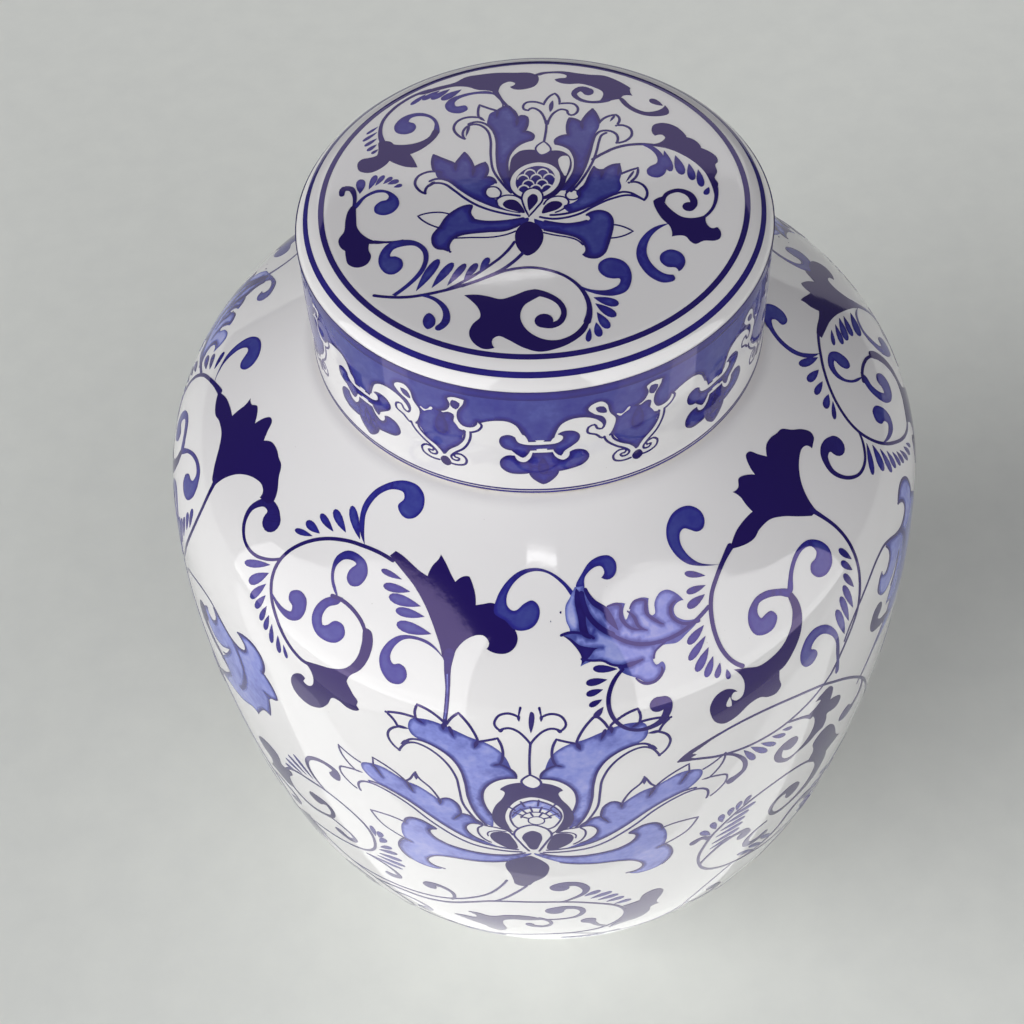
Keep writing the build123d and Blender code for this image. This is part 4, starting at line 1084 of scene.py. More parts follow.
def lid_scroll_east(art):
    """The crescents, rings and dark leaves to the right of the lid's flower."""
    art.fill(CURL, (37.2, -12.3, 1), (32.4, -13.9), (28.6, -18.6), (27.3, -24), (28.4, -29), (31, -33),
             (34, -34.8), (37, -34), (36.8, -32, 1), (34.4, -31.4), (31.8, -28.6), (30.2, -24),
             (30.8, -19.4), (33, -15.4))
    art.fill(CURL, (33.6, -26.6), (34, -24), (36.6, -22.4), (39.4, -23.8), (40.4, -27), (39.4, -29.8),
             (38.3, -30.8, 1), (37.6, -29.3), (35.4, -29))
    art.fill(LEAF, (33.2, -3.2, 1), (33.6, -6), (35, -10), (37.2, -13.6), (37.4, -17.4, 1), (41, -17.4),
             (42.2, -19.4), (43.6, -20.6), (46, -19.4), (49, -19.5), (50.4, -18.7), (50.9, -16.4),
             (50, -14.3, 1), (48.4, -14.6), (47.2, -12.6), (47.5, -9.2, 1), (44.4, -10.4), (41, -10),
             (38, -7), (36.2, -3.4), (36.6, -1.4, 1), (34.6, -2))
    art.swell(LEAF, (36, -3.4, 1.1), (37.2, -0.5, 1.3), (40.4, 0.8, 1.5), (43.4, -0.9, 1.9),
              (44.4, -4.4, 2.1), (42.9, -5.9, 3.6))
    art.swell(STEM, (47.2, -9.8, 0.9), (49.6, -6.4, 0.9), (50.8, -2, 1.1), (50.9, 2, 1.4))
    art.fill(LEAF, (28, 20.6, 1), (34, 20.4), (36.6, 21), (38.3, 23), (37.6, 24.4), (35.4, 24.1, 1),
             (34.6, 26.4), (35.4, 28.8), (38, 29.5), (41.4, 28), (44, 24.4), (44.4, 23, 1), (46.6, 21.6),
             (48, 19.4), (48.2, 18.2, 1), (51, 16), (52.3, 14), (52.4, 12, 1), (51.6, 11), (51.9, 8),
             (51, 5.6), (51.8, 3), (51, 0.6), (50.3, -1, 1), (49.6, 4), (48, 9), (44, 14.4), (39, 18.2),
             (34, 19.8))
    art.line(STEM, 0.95, (17.2, 14.8), (20, 17), (24, 19.4), (29, 20.6), (35, 20))
    art.fill(CURL, (31, 20.5, 1), (34, 18), (35.4, 15), (35.2, 12.4), (33.4, 11.2), (32.2, 9.6),
             (32.6, 7.4), (35, 6.3), (37, 7.6), (38, 11), (37.4, 15), (35.6, 18.4), (33, 20.5))
    art.drops(CURL, (37.6, 17.6, 38.9, 8.7, 2.4), (40.6, 15.4, 42.1, 7.2, 2.7),
              (44.2, 11.8, 44.8, 4.8, 2.3), (46.6, 9.2, 47.1, 2, 2.1), (49.1, 1.8, 47.8, -1.3, 1.7))
    art.fill(LEAF, (1.4, 53.2, 1), (3.4, 54.3), (7, 54.6), (10.4, 54.4), (14, 53.4), (18, 52.4),
             (22, 51.8), (25, 50), (28, 47.4), (29.6, 45.6, 1), (29.4, 44), (30, 42.2, 1), (27.6, 42.4),
             (26.4, 41, 1), (23, 40.2), (20.4, 39.7), (21.4, 42.4), (21.4, 44.4), (19, 46.6),
             (15.4, 48.4), (11, 48.6), (8.8, 49.4), (7.5, 50.8, 1), (9, 51.3), (10.8, 51.4), (11.1, 52.6),
             (9, 53.6), (5, 53.7), (3, 53))
    art.swell(STEM, (23, 40.6, 1.4), (18, 39.8, 0.9), (14.4, 41.4, 1.2), (13, 44, 1.7), (14.8, 46, 2.1),
              (17.2, 44.6, 3.2))
    art.fill(LEAF, (25.8, 41.6, 1), (28, 37), (32, 33.6), (36.6, 32.6), (40, 33.6), (39.2, 37.3, 1),
             (37.6, 35.4), (33.6, 34.6), (29.6, 37.2), (27, 41.2))
    art.drops(LEAF, (38.6, 37.2, 34.9, 40.2, 2.1))


def lid_right_upper_petal(art):
    """The upper right petal of the lid's flower."""
    art.fill(DEEP, (11.4, 32.8, 1), (13.3, 32.1), (14.6, 30.7, 1), (15.8, 33.4), (18.1, 36.5, 1),
             (19.4, 33.4), (19.9, 30.7), (19.4, 27.9), (18.3, 25.7), (16.7, 19.6), (14.7, 11.2),
             (12.8, 6.2), (10.6, 2.3, 1), (7.8, 2.3, 1), (10, 6.2), (11.7, 10.1), (12.2, 14),
             (11.9, 16.8), (10.8, 19.6), (8.9, 21.2), (6.9, 22.1, 1), (6.9, 23.7), (8.3, 25.1),
             (10.6, 25.7, 1), (10.4, 27.9), (10.6, 30.1))
    art.line(LINE, 0.8, (9.4, 1.8), (12.5, 6.2), (14.7, 11.2), (16.7, 18.4), (17.6, 22.5), (18.5, 25.2),
             (20, 26.8), (22.4, 26.9), (24.2, 25.6), (24.8, 23.6), (24.3, 21.5, 1), (27, 22.3),
             (28.8, 24.6), (28.6, 27.4), (26.7, 29), (24.6, 29, 1), (25.7, 31.8), (24.8, 33.8, 1),
             (22.8, 33.4), (21.1, 32.3), (19.9, 30.6, 1), (19.3, 33.6), (18.1, 36.7, 1), (15.8, 33.4),
             (14.6, 30.7, 1), (13.3, 32.2), (11.3, 33, 1), (10.5, 30), (10.6, 25.7, 1), (8.3, 25.1),
             (6.9, 23.7), (6.9, 22, 1), (8.9, 21.2), (10.8, 19.6), (11.9, 16.8), (12.2, 14), (11.7, 10.1),
             (10, 6.2), (7.6, 2.6))
    art.line(LINE, 0.75, (10.6, 1.8), (13.3, 5.7), (15.6, 10.1), (17.4, 14.6), (18.5, 18.5), (19.3, 22.3),
             (20.2, 25), (21.6, 26))
    art.drops(LINE, (14.9, 27.9, 14.6, 30.8, 1), (10.9, 30, 11.3, 33, 0.9), (22.8, 30.8, 24.4, 33.4, 0.8))


def lid_right_side_petal(art):
    """The side petal on the right of the lid's flower."""
    art.fill(DEEP, (17.4, 11.4, 1), (18.6, 10.4), (20.3, 10.4, 1), (22.2, 11.8), (24.6, 12.3, 1),
             (25, 8.4), (24.4, 5.7), (24.7, 2.9), (23.9, 1.2), (19.4, -1.6), (17.2, -3.2), (13.9, -5.2),
             (10, -6.8, 1), (8.3, -4), (11.1, -2.7), (12.5, -1), (12, 1.2), (13.3, 3.4), (15, 5.1),
             (16.1, 8.4))
    art.line(LINE, 0.8, (12.4, 1.6), (14.6, 4.4), (16.1, 8.4), (17.4, 11.6, 1), (18.6, 10.3),
             (20.3, 10.3, 1), (22.2, 11.9), (24.6, 12.5, 1), (25.1, 8.4, 1), (26.7, 9.3), (29.7, 10.6, 1),
             (29.2, 7.3), (26.9, 4.6, 1), (28.9, 4.8), (30.8, 3.4), (31.7, 1.2), (31.6, -1),
             (30.7, -2.7, 1), (28.9, -1), (27.2, 0.4), (25, 0.9), (22.8, 0.1), (19.4, -1.8), (13.9, -5.2),
             (9, -7), (4.6, -7.4))
    art.line(RIB, 0.8, (30.3, -2.3), (27.8, -0.8), (25.6, -0.5), (22.2, -1.5), (19.4, -2.8), (16.1, -4.9),
             (12.8, -7.2), (8.9, -8.6), (5, -8.9), (1.7, -8))
    art.drops(LINE, (19.2, 6.8, 19.9, 10.4, 1), (23.9, 7.6, 24.8, 12, 0.9), (26, 4.8, 28.6, 9.4, 0.8))


def lid_right_lower_petal(art):
    """The lower right petal of the lid's flower."""
    lobe = ((16.1, -6.8), (18.3, -6.4), (20.3, -7.4), (21.4, -9.6), (21.4, -12.7), (20.6, -16.6),
            (19.7, -19.9), (18.6, -22.9), (16.7, -24.5), (14.4, -24.3), (13.1, -23.3, 1), (13.9, -22.1),
            (13.9, -20.4), (13.1, -18.2), (11.7, -16.6), (9.4, -15.4), (6.1, -14.3), (2.8, -13.2))
    art.fill(DEEP, (0, -8.6, 1), (3, -10), (5.4, -10.9), (8.3, -11.3), (11.7, -11), (14.2, -10.4),
             (15.4, -9.6), (14.6, -7.9, 1), *lobe, (0.6, -11.6))
    art.line(LINE, 0.8, (14.6, -7.9), *lobe)
    art.line(LINE, 0.55, (2.4, -14.2), (5.6, -15.4), (8.9, -16.3), (11.4, -17.5), (13, -19.5))
    art.line(LINE, 0.55, (21.6, -12.1), (24, -12.8), (26.9, -14.9, 1), (23.9, -16.7), (20.6, -17.3))
    art.line(RIB, 0.8, (3, -9.7), (6, -10.7), (9, -11.2), (12, -10.9), (14.4, -10.2))


def lid_right_root(art):
    """The curled lobes and the dark seed at the root of the right petals."""
    art.loop(LINE, 0.55, (13, 1.2), (11.7, 2.3), (9.9, 1.9), (9, 0.4), (9.8, -1.3), (11.6, -1.5),
             (12.9, -0.3))
    art.line(LINE, 0.55, (2.8, -3), (4.4, -0.7), (6.7, 0.1), (9, -0.7), (9.8, -2.4), (8.7, -4.6),
             (6, -6.4))
    art.fill(SEED, (3.3, -3.4), (5, -2), (7, -2), (8, -3.2), (6.8, -5), (4.2, -6.2), (2.2, -6.6),
             (2.5, -4.9))


def lid_pod(art):
    """The seed pod in the middle of the lid's flower."""
    art.fill(SEED, (-4.6, 18.4), (-2.9, 19.7), (0, 19.9), (2.6, 19.3), (5.3, 19.2), (8, 19), (10.3, 17.2),
             (11.2, 14.4), (10.9, 11), (9.6, 7.6), (8.4, 3.6), (5, -0.4), (-3, -0.6), (-5.6, 3),
             (-6.6, 8), (-6.4, 13), (-5.8, 16.4))
    art.fill(PAPER, (7.5, 15.5), (8.8, 16.8), (10.2, 16.6), (10.7, 14), (10.1, 10.7), (9.2, 8.2),
             (8.1, 10.8), (7.5, 13.4))
    for tone, step, count, wide, lean, tall in ((PAPER, 0.52, 12, 7, 0.9, 7.4),
                                                (BAND, 0.63, 10, 5.5, 0.8, 5.9)):
        turns = [step * k for k in range(count)]
        art.fill(tone, *[(0.7 + wide * sin(a) + lean * cos(a), 7 + tall * cos(a)) for a in turns])
    for y, row in ((10.4, (-0.7, 2.9)), (8.3, (-2.7, 1, 4.6)), (6.1, (-1.3, 2.6)), (4, (-2.6, 0.8, 4))):
        for x in row:
            art.swell(PAPER, (x - 1.6, y - 0.7, 0.3), (x - 1, y + 0.6, 0.6), (x, y + 1.1, 0.7),
                      (x + 1, y + 0.6, 0.6), (x + 1.6, y - 0.7, 0.3))
    art.fill(PAPER, (-0.2, 4), (-2.2, 3), (-3.4, 0.4), (-3, -3), (-1.4, -7.8, 1), (0.8, -4.4),
             (2.6, -1.4), (2.6, 1.6), (1.4, 3.5))
    art.loop(LINE, 0.55, (-0.2, 3.8), (-2.2, 2.8), (-3.2, 0.4), (-2.9, -2.6), (-1.4, -7.6, 1), (1, -4),
             (2.5, -1.4), (2.5, 1.4), (1.4, 3.2))
    art.fill(SEED, (-0.1, 1.4), (-1.5, 0), (-1.7, -2.4), (-1.3, -5.4, 1), (0.2, -3.4), (1.2, -1.4),
             (1, 0.6))


def lid_finial(art):
    """The finial above the lid's pod."""
    art.fill(PAPER, (3.6, 23.2, 1), (1.1, 20.2), (2.6, 17.5), (5.4, 19.2))
    art.loop(LINE, 0.55, (3.6, 23.3, 1), (1.1, 20.2), (2.6, 17.5), (5.4, 19.2))
    art.line(LINE, 0.75, (3.6, 23.2), (4.1, 26.2), (4.5, 30), (4.5, 32.2))
    art.line(LINE, 0.75, (4.4, 31), (3.4, 35.4), (2.2, 37.3), (0.6, 38.2), (-0.6, 37.2, 1), (-1.9, 37.9),
             (-2, 39.4), (-1, 40.8), (1.1, 41), (2.8, 40.4), (4, 39.6, 1), (4.7, 41.5), (5.8, 43.2),
             (7.4, 44.4, 1), (8.4, 42.6), (8.6, 39.6, 1), (10.6, 39.8), (12.8, 39.3), (13.9, 37.3),
             (13.3, 35.1), (11.8, 34.3), (10.8, 35.4, 1), (10.6, 36.5), (8.9, 37.1), (6.9, 35.7),
             (5.6, 33.4), (4.9, 30.8))
    art.fill(LINE, (6.7, 41.2), (5.6, 39.4), (5.7, 36, 1), (6.7, 38))


def lid_bud(art):
    """The bud under the lid's flower."""
    art.fill(SEED, (-1.5, -9.6), (-3.6, -10.8), (-5.2, -13.5), (-5.4, -17), (-4.8, -19.8), (-3.2, -22.3),
             (-2.2, -22.9), (-0.2, -21.8), (1.8, -18.6), (2.4, -15.6), (2, -13), (0.6, -10.8))


def lid_rings(art):
    """Two painted rings near the edge of the lid's top."""
    art.band(STEM, 58.7, 60.3)
    art.band(RIB, 63.4, 64.8)


def skirt_field(art):
    """One eighth of the blue ground of the lid's skirt, scalloped along its lower edge."""
    end = SKIRT_START + SKIRT_STEP
    edge = ((SKIRT_START, 31.9, 1), (-8.6, 31.9), (-6.4, 30.4), (-4.9, 27), (-3.8, 23.6, 1),
            (2.6, 23.6, 1), (3.3, 27), (5, 30.6), (8.2, 32.3), (12, 31.9), (15, 30), (17.6, 27),
            (18.6, 23), (20.6, 19), (24, 15.4), (26.4, 13.8, 1), (28.4, 16), (30.8, 20), (31.8, 24),
            (33.6, 27.4), (37, 30.4), (end, 31.9, 1))
    top = [(SKIRT_START + SKIRT_STEP * k / 20, 43.2, 1) for k in range(20, -1, -1)]
    art.fill(SKIRT_WASH, *edge, *top)


def skirt_pendant(art):
    """The hanging flower bud under each point of the skirt's blue ground."""
    art.line(LINE, 0.85, (-16, 30.2), (-12, 31.9), (-8.6, 31.9), (-6.4, 30.4), (-4.9, 27),
             (-3.8, 23.6, 1), (2.6, 23.6, 1), (3.3, 27), (5, 30.6), (8.2, 32.3), (12, 31.9), (15, 29.9),
             (16.5, 27), (15.6, 24.9), (13.8, 24.8), (12.6, 26.4))
    art.fill(PAPER, (-6.4, 25.6), (-4.8, 22.6), (-3, 22, 1), (2.4, 22, 1), (4.2, 23.4), (3.4, 25),
             (2.2, 23.4, 1), (-3.6, 23.4, 1), (-5, 26.4))
    art.edged(CURL, 0.6, (-7.2, 25, 1), (-8.6, 25.8), (-10.4, 25), (-11, 23), (-10.2, 20.8),
              (-8, 19.9, 1), (-6.2, 17.8), (-5.2, 17), (-4.2, 18.2), (-3.4, 20, 1), (3, 20.2, 1),
              (3.8, 18.4), (4.8, 17.4), (5.4, 19), (7.4, 20.8), (9.2, 22.6), (9.6, 24.8), (8.4, 26.5),
              (6.2, 27), (4.4, 26.2, 1), (5.6, 25.4), (5.6, 23.8), (4, 22.3), (0, 21.9), (-4.4, 22),
              (-6.4, 22.9))
    art.edged(CURL, 0.7, (-7.6, 17.2, 1), (-9.6, 16.8), (-11, 14.8), (-10.8, 12), (-8.8, 10.2), (-6, 10),
              (-3.6, 10.4, 1), (-2.6, 8), (-1, 6.2), (0, 5.5), (1.4, 6.4), (3.2, 8.6), (4, 10.8, 1),
              (7, 11.4), (10.4, 12.6), (12, 15), (11.2, 17.8), (9.2, 18.8), (7.4, 18.2, 1), (7, 16),
              (5.4, 14.9), (3.6, 16), (2.4, 18.6, 1), (-2.4, 18.6, 1), (-3.2, 16), (-4.8, 14.5),
              (-6.6, 15))
    art.fill(SKIRT_WASH, (-1.8, 17.6), (-3.2, 12.6), (-2.2, 9), (0, 6.6), (2.4, 9), (3.4, 12.6),
             (1.8, 17.6))
    art.fill(RIB, (0, 16.6), (-1.3, 13), (-0.6, 9.8), (0.8, 9.8), (1.5, 13))


def skirt_shield(art):
    """The pointed shield with ribbon loops that hangs between two pendants, with a small painted highlight
    between its loops.
    """
    art.edged(PAPER, 0.7, (11.8, 34.6), (12.8, 36.4), (15.6, 37.2), (17.4, 35.4), (18.2, 31.8),
              (19.8, 28.8), (19.4, 25.4), (18, 22.4), (15.8, 21.9), (14.2, 23.8), (12, 25.2),
              (12.2, 27.4), (13.8, 28), (14.6, 26.2), (15.8, 25.8), (16.6, 28), (15.8, 30.4), (13.6, 32))
    art.edged(BAND, 0.6, (14.4, 34.6), (16, 34.4), (16.8, 32.2), (15, 33))
    art.edged(PAPER, 0.7, (25, 31.4, 1), (27.2, 32.4), (28.4, 35), (27.8, 37.4), (29.6, 38.6),
              (33, 38.2, 1), (32.6, 36), (31, 33), (30.8, 29.6), (32, 27.6), (34.4, 27.8),
              (35.8, 30.2, 1), (37, 28.8), (35.8, 26.4), (33, 25), (30.4, 25.6), (29, 28), (29.2, 31),
              (28, 31.4), (26.6, 30.6))
    art.edged(BAND, 0.6, (29.6, 36.8), (29.2, 34.6), (30.2, 33.8), (31.2, 36.2))
    # painted highlight: this small white fleck left in the blue stands in for a glint on the glaze
    art.swell(PAPER, (20, 30.2, 0.5), (21.4, 29.4, 1), (23.2, 31.4, 0.8))
    art.fill(SKIRT_WASH, (26, 13.8), (21.4, 19), (19.2, 23), (20, 27.6), (23, 30.4), (27.6, 30),
             (30.6, 26), (31.2, 22), (29.6, 18))
    art.drops(RIB, (26, 31.4, 25.6, 22, 3.6))
    art.swell(PAPER, (17.2, 22.6, 0.9), (18, 20.2, 1.2), (20.4, 17.4, 1.3), (23, 15.2, 1.4),
              (24.7, 12.8, 1.6), (23.6, 10.9, 1.6), (21.4, 10.8, 1.5), (19.9, 12.2, 1.3),
              (20.6, 13.8, 1.1), (22, 13.6, 0.9))
    art.swell(PAPER, (33, 25.4, 0.9), (32.6, 22, 1.2), (30.8, 18.4, 1.3), (28.2, 15.6, 1.4),
              (26.7, 13, 1.6), (27.6, 11, 1.6), (29.6, 10.8, 1.5), (31, 12.2, 1.3), (30.2, 13.8, 1.1),
              (28.9, 13.5, 0.9))
    art.line(LINE, 0.7, (16.4, 22.2), (17.2, 20), (19.8, 16.9), (22.2, 14.9), (23.6, 12.9), (23, 11.8),
             (21.6, 11.7), (21, 12.8), (22.2, 13, 1), (22.6, 14.2), (20.6, 14.8), (19, 13.2), (19.4, 11),
             (21.4, 9.9), (24, 9.9))
    art.line(LINE, 0.7, (18.6, 22.8), (19, 20.6), (21.2, 18), (24, 15.9), (25.6, 13.4))
    art.line(LINE, 0.7, (33.8, 25), (33.4, 21.8), (31.6, 17.8), (29, 15), (27.7, 13), (28, 11.9),
             (29.4, 11.7), (30, 12.8), (28.9, 13, 1), (28.6, 14.2), (30.6, 14.8), (32, 13.2), (31.6, 11),
             (29.6, 9.9), (27.2, 9.9))
    art.line(LINE, 0.7, (32, 25.4), (31.8, 22.2), (30, 18.9), (27.4, 16.2), (25.9, 13.6))
    art.fill(LEAF, (24.4, 10.6), (25, 8.9), (26.2, 8.3), (27.6, 9.8), (26.6, 12.2), (25.4, 12.2))


def skirt_lines_and_shade_band(art):
    """The fine rings round the lid's skirt at its lip, and a wider darker ring along its top that is
    painted shade standing in for a dark reflection.
    """
    # painted shade: this darker ring along the skirt's top stands in for a dark reflection, not a line of
    # the pattern
    art.band(RIB, 40.2, 43.3)
    art.band(LINE, 2.5, 3.1)
    art.band(BAND, 1.4, 2.1)


# ---- Laying paint on the porcelain ----
OWN_NORMAL = Vector((0, 0, 0))  # a zero shading normal leaves the mesh's own


def linked(name, data):
    """A new object in the scene for a mesh, a lamp or a camera."""
    made = bpy.data.objects.new(name, data)
    bpy.context.collection.objects.link(made)
    return made


def closed_film(name, mesh, inks, rims, shading):
    """A film's object, from its mesh and each corner's tone, rim distance and shading normal."""
    for title, values in (("ink", inks), ("rim", rims)):
        mesh.attributes.new(title, "FLOAT", "CORNER").data.foreach_set("value", values)
    mesh.polygons.foreach_set("use_smooth", [True] * len(mesh.polygons))
    mesh.normals_split_custom_set(shading)
    mesh.update()
    return linked(name, mesh)


def film(name, chart, drawn, shift, lift):
    """A closed film of paint on the surface, from a meshed motif moved by shift."""
    points, triangles, tones, depth = drawn
    used = sorted({k for triangle in triangles for k in triangle})
    index = {k: n for n, k in enumerate(used)}
    count = len(used)
    top, under, normals = [], [], []
    for k in used:
        spot, around = chart.place(points[k].x + shift[0], points[k].y + shift[1])
        top.append(turned(*spot, around, lift))
        under.append(turned(*spot, around, -PAINT_DEPTH))
        normals.append(facing(spot[2], around))
    faces = [tuple(index[k] for k in triangle) for triangle in triangles]
    edges = {}
    for n, face in enumerate(faces):
        for a, b in zip(face, face[1:] + face[:1]):
            edges[(a, b)] = n
    sides, side_tones = [], []
    for (a, b), n in edges.items():
        if (b, a) not in edges:
            sides.append((b, a, a + count, b + count))
            side_tones.append(tones[n])
    bottom = [tuple(k + count for k in reversed(face)) for face in faces]
    mesh = bpy.data.meshes.new(name)
    mesh.from_pydata(top + under, [], faces + sides + bottom)
    depths = [depth[k] for k in used] * 2
    inks, rims, shading = [], [], []
    for polygon, tone in zip(mesh.polygons, tones + side_tones + tones):
        is_top = polygon.index < len(faces)
        for corner in polygon.loop_indices:
            vertex = mesh.loops[corner].vertex_index
            inks.append(tone)
            rims.append(depths[vertex])
            shading.append(normals[vertex] if is_top else OWN_NORMAL)
    return closed_film(name, mesh, inks, rims, shading)


def ring(name, chart, band, lift, sides=512, rows=4):
    """A painted ring all the way round, as a closed film."""
    tone, low, high = band
    on_lid = chart.kind == "lid"
    spots = []
    for k in range(rows + 1):
        at = low + (high - low) * k / rows
        spots.append(chart.place(0, -at if on_lid else at)[0])
    section = [(spot, lift) for spot in spots]
    section += [(spot, -PAINT_DEPTH) for spot in reversed(spots)]
    size = len(section)
    turns = [2 * pi * n / sides for n in range(sides)]
    vertices = [turned(*spot, around, rise) for around in turns for spot, rise in section]
    faces = []
    for n in range(sides):
        m = (n + 1) % sides
        for k in range(size):
            j = (k + 1) % size
            face = (n * size + k, m * size + k, m * size + j, n * size + j)
            faces.append(face[::-1] if on_lid else face)
    mesh = bpy.data.meshes.new(name)
    mesh.from_pydata(vertices, [], faces)
    rims, shading = [], []
    for polygon in mesh.polygons:
        is_top = polygon.index % size < rows
        for corner in polygon.loop_indices:
            n, k = divmod(mesh.loops[corner].vertex_index, size)
            row = min(k, size - 1 - k)
            rims.append(min(row, rows - row) / rows * (high - low))
            shading.append(facing(section[k][0][2], turns[n]) if is_top else OWN_NORMAL)
    return closed_film(name, mesh, [tone] * len(mesh.loops), rims, shading)


# ---- The porcelain ----
def arc(centre, radius, start, end, steps):
    """Points of an arc in the (radius, height) plane, angles in degrees."""
    turns = [radians(start + (end - start) * k / steps) for k in range(steps + 1)]
    return [(centre[0] + radius * cos(a), centre[1] + radius * sin(a)) for a in turns]


def inner_wall(v):
    """The inside of the wall, across from v mm along the outline: radius, height and slope."""
    radius, height, slope = body_outline(v)
    return radius - WALL * cos(slope), height - WALL * sin(slope), slope


def foot_section():
    """The foot's outline, from the middle of its recess, round its ring and up outside."""
    inner = FOOT_RADIUS - FOOT_RING_WIDTH
    under = [(r, FOOT_RECESS) for r in (0, 10, 20, 30, 40, 50, 58)]
    under += arc((inner - FOOT_EDGE, FOOT_RECESS - FOOT_EDGE), FOOT_EDGE, 90, 0, 5)
    under += arc((inner + FOOT_EDGE, FOOT_EDGE), FOOT_EDGE, 180, 270, 5)
    under += arc((FOOT_RADIUS - FOOT_EDGE, FOOT_EDGE), FOOT_EDGE, 270, 360, 5)
    return under + [(FOOT_RADIUS, 4.5), (FOOT_RADIUS, 7.2), (FOOT_RADIUS + 0.1, 7.9)]


def neck_section():
    """The neck's outline, from the seat over its top and down inside."""
    inner = NECK_RADIUS - WALL
    neck = arc((NECK_RADIUS + SEAT_FILLET, SEAT_HEIGHT + SEAT_FILLET), SEAT_FILLET, 270, 180, 4)
    neck += [(NECK_RADIUS, z) for z in (268, 275)]
    neck += arc((NECK_RADIUS - NECK_EDGE, NECK_TOP - NECK_EDGE), NECK_EDGE, 0, 90, 6)
    neck += arc((inner + NECK_EDGE, NECK_TOP - NECK_EDGE), NECK_EDGE, 90, 180, 6)
    return neck + [(inner, z) for z in (275, 268, 260)]


def jar_section(steps=90, search=0.05):
    """The jar's outline, from the middle of its floor underneath, round the outside and back inside."""
    foot = -LOW_ARC * LOW_SLOPE
    while body_outline(foot)[1] > FOOT_HEIGHT:
        foot -= search
    meet = foot  # where the inside of the wall runs into the floor's fillet
    while inner_wall(meet)[1] < FLOOR_TOP + FLOOR_FILLET * (1 + sin(inner_wall(meet)[2])):
        meet += search
    top = UP_ARC * UP_SLOPE + SHOULDER_ARC * (SHOULDER_SLOPE - UP_SLOPE) + CONE_LENGTH
    wall = [body_outline(foot + (top - foot) * k / steps)[:2] for k in range(1, steps + 1)]
    inner_top = top - 3
    inside = [inner_wall(inner_top - (inner_top - meet) * k / steps)[:2] for k in range(steps)]
    inside = [(r, z) for r, z in inside if r > NECK_RADIUS - WALL + 0.5 and z < SEAT_HEIGHT - WALL]
    radius, height, slope = inner_wall(meet)
    centre = (radius - FLOOR_FILLET * cos(slope), height - FLOOR_FILLET * sin(slope))
    floor = arc(centre, FLOOR_FILLET, degrees(slope), -90, 12)
    floor += [(r, FLOOR_TOP) for r in (40, 30, 20, 10, 0)]
    return foot_section() + wall + neck_section() + inside + floor


def lid_section():
    """The lid's outline, from the middle of its top, down the outside, round the lip and up inside."""
    outside = [lid_outline(CROWN_RADIUS * k / 12)[:2] for k in range(13)]
    for k in range(1, 25):
        reach = CROWN_RADIUS + (LID_RADIUS - CROWN_RADIUS) * sin(k / 24 * pi / 2)
        outside.append(lid_outline(reach)[:2])
    edge = outside[-1][1]
    lip = SEAT_HEIGHT + LID_EDGE
    spread = LID_RADIUS - LIP_RADIUS
    for k in range(1, 24):
        height = edge + (lip - edge) * k / 24
        outside.append((LIP_RADIUS + spread * (height - SEAT_HEIGHT) / SKIRT_HEIGHT, height))
    inner = LIP_RADIUS - LID_WALL
    rim = arc((LIP_RADIUS - LID_EDGE, lip), LID_EDGE, 0, -90, 6)
    rim += arc((inner + LID_EDGE, lip), LID_EDGE, -90, -180, 6)
    under = LID_TOP - LID_WALL
    fillet = under - LID_FILLET
    low = SEAT_HEIGHT + 3
    inside = [(inner + spread * k / 12, low + (fillet - low) * k / 12) for k in range(12)]
    inside += arc((LID_RADIUS - LID_WALL - LID_FILLET, fillet), LID_FILLET, 0, 90, 12)
    inside += [(r, under) for r in (45, 35, 25, 15, 8, 0)]
    return outside + rim + inside


def lathe(name, section, sides=360):
    """A closed mesh of revolution from an outline that starts and ends on the axis."""
    rows = section[1:-1]
    vertices = []
    for radius, height in rows:
        for n in range(sides):
            around = 2 * pi * n / sides
            vertices.append((radius * sin(around) * MM, -radius * cos(around) * MM, height * MM))
    first = len(vertices)
    vertices += [(0, 0, section[0][1] * MM), (0, 0, section[-1][1] * MM)]
    faces = []
    for row in range(0, (len(rows) - 1) * sides, sides):
        for n in range(sides):
            m = (n + 1) % sides
            faces.append((row + n, row + m, row + sides + m, row + sides + n))
    end = (len(rows) - 1) * sides
    for n in range(sides):
        m = (n + 1) % sides
        faces.append((first, m, n))
        faces.append((first + 1, end + n, end + m))
    mesh = bpy.data.meshes.new(name)
    mesh.from_pydata(vertices, [], faces)
    mesh.polygons.foreach_set("use_smooth", [True] * len(mesh.polygons))
    build = bmesh.new()
    build.from_mesh(mesh)
    bmesh.ops.recalc_face_normals(build, faces=build.faces)
    build.to_mesh(mesh)
    build.free()
    mesh.update()
    return linked(name, mesh)


# ---- Materials ----
GLAZE = (0.716, 0.704, 0.709)
GLAZE_LIGHT = (0.738, 0.728, 0.728)
IRON_SPECK = (0.33, 0.30, 0.28, 1)
SPECK_RARITY, SPECK_STRENGTH = 0.83, 0.35
BISCUIT = [(0.3, (0.52, 0.47, 0.41)), (0.7, (0.66, 0.61, 0.54))]
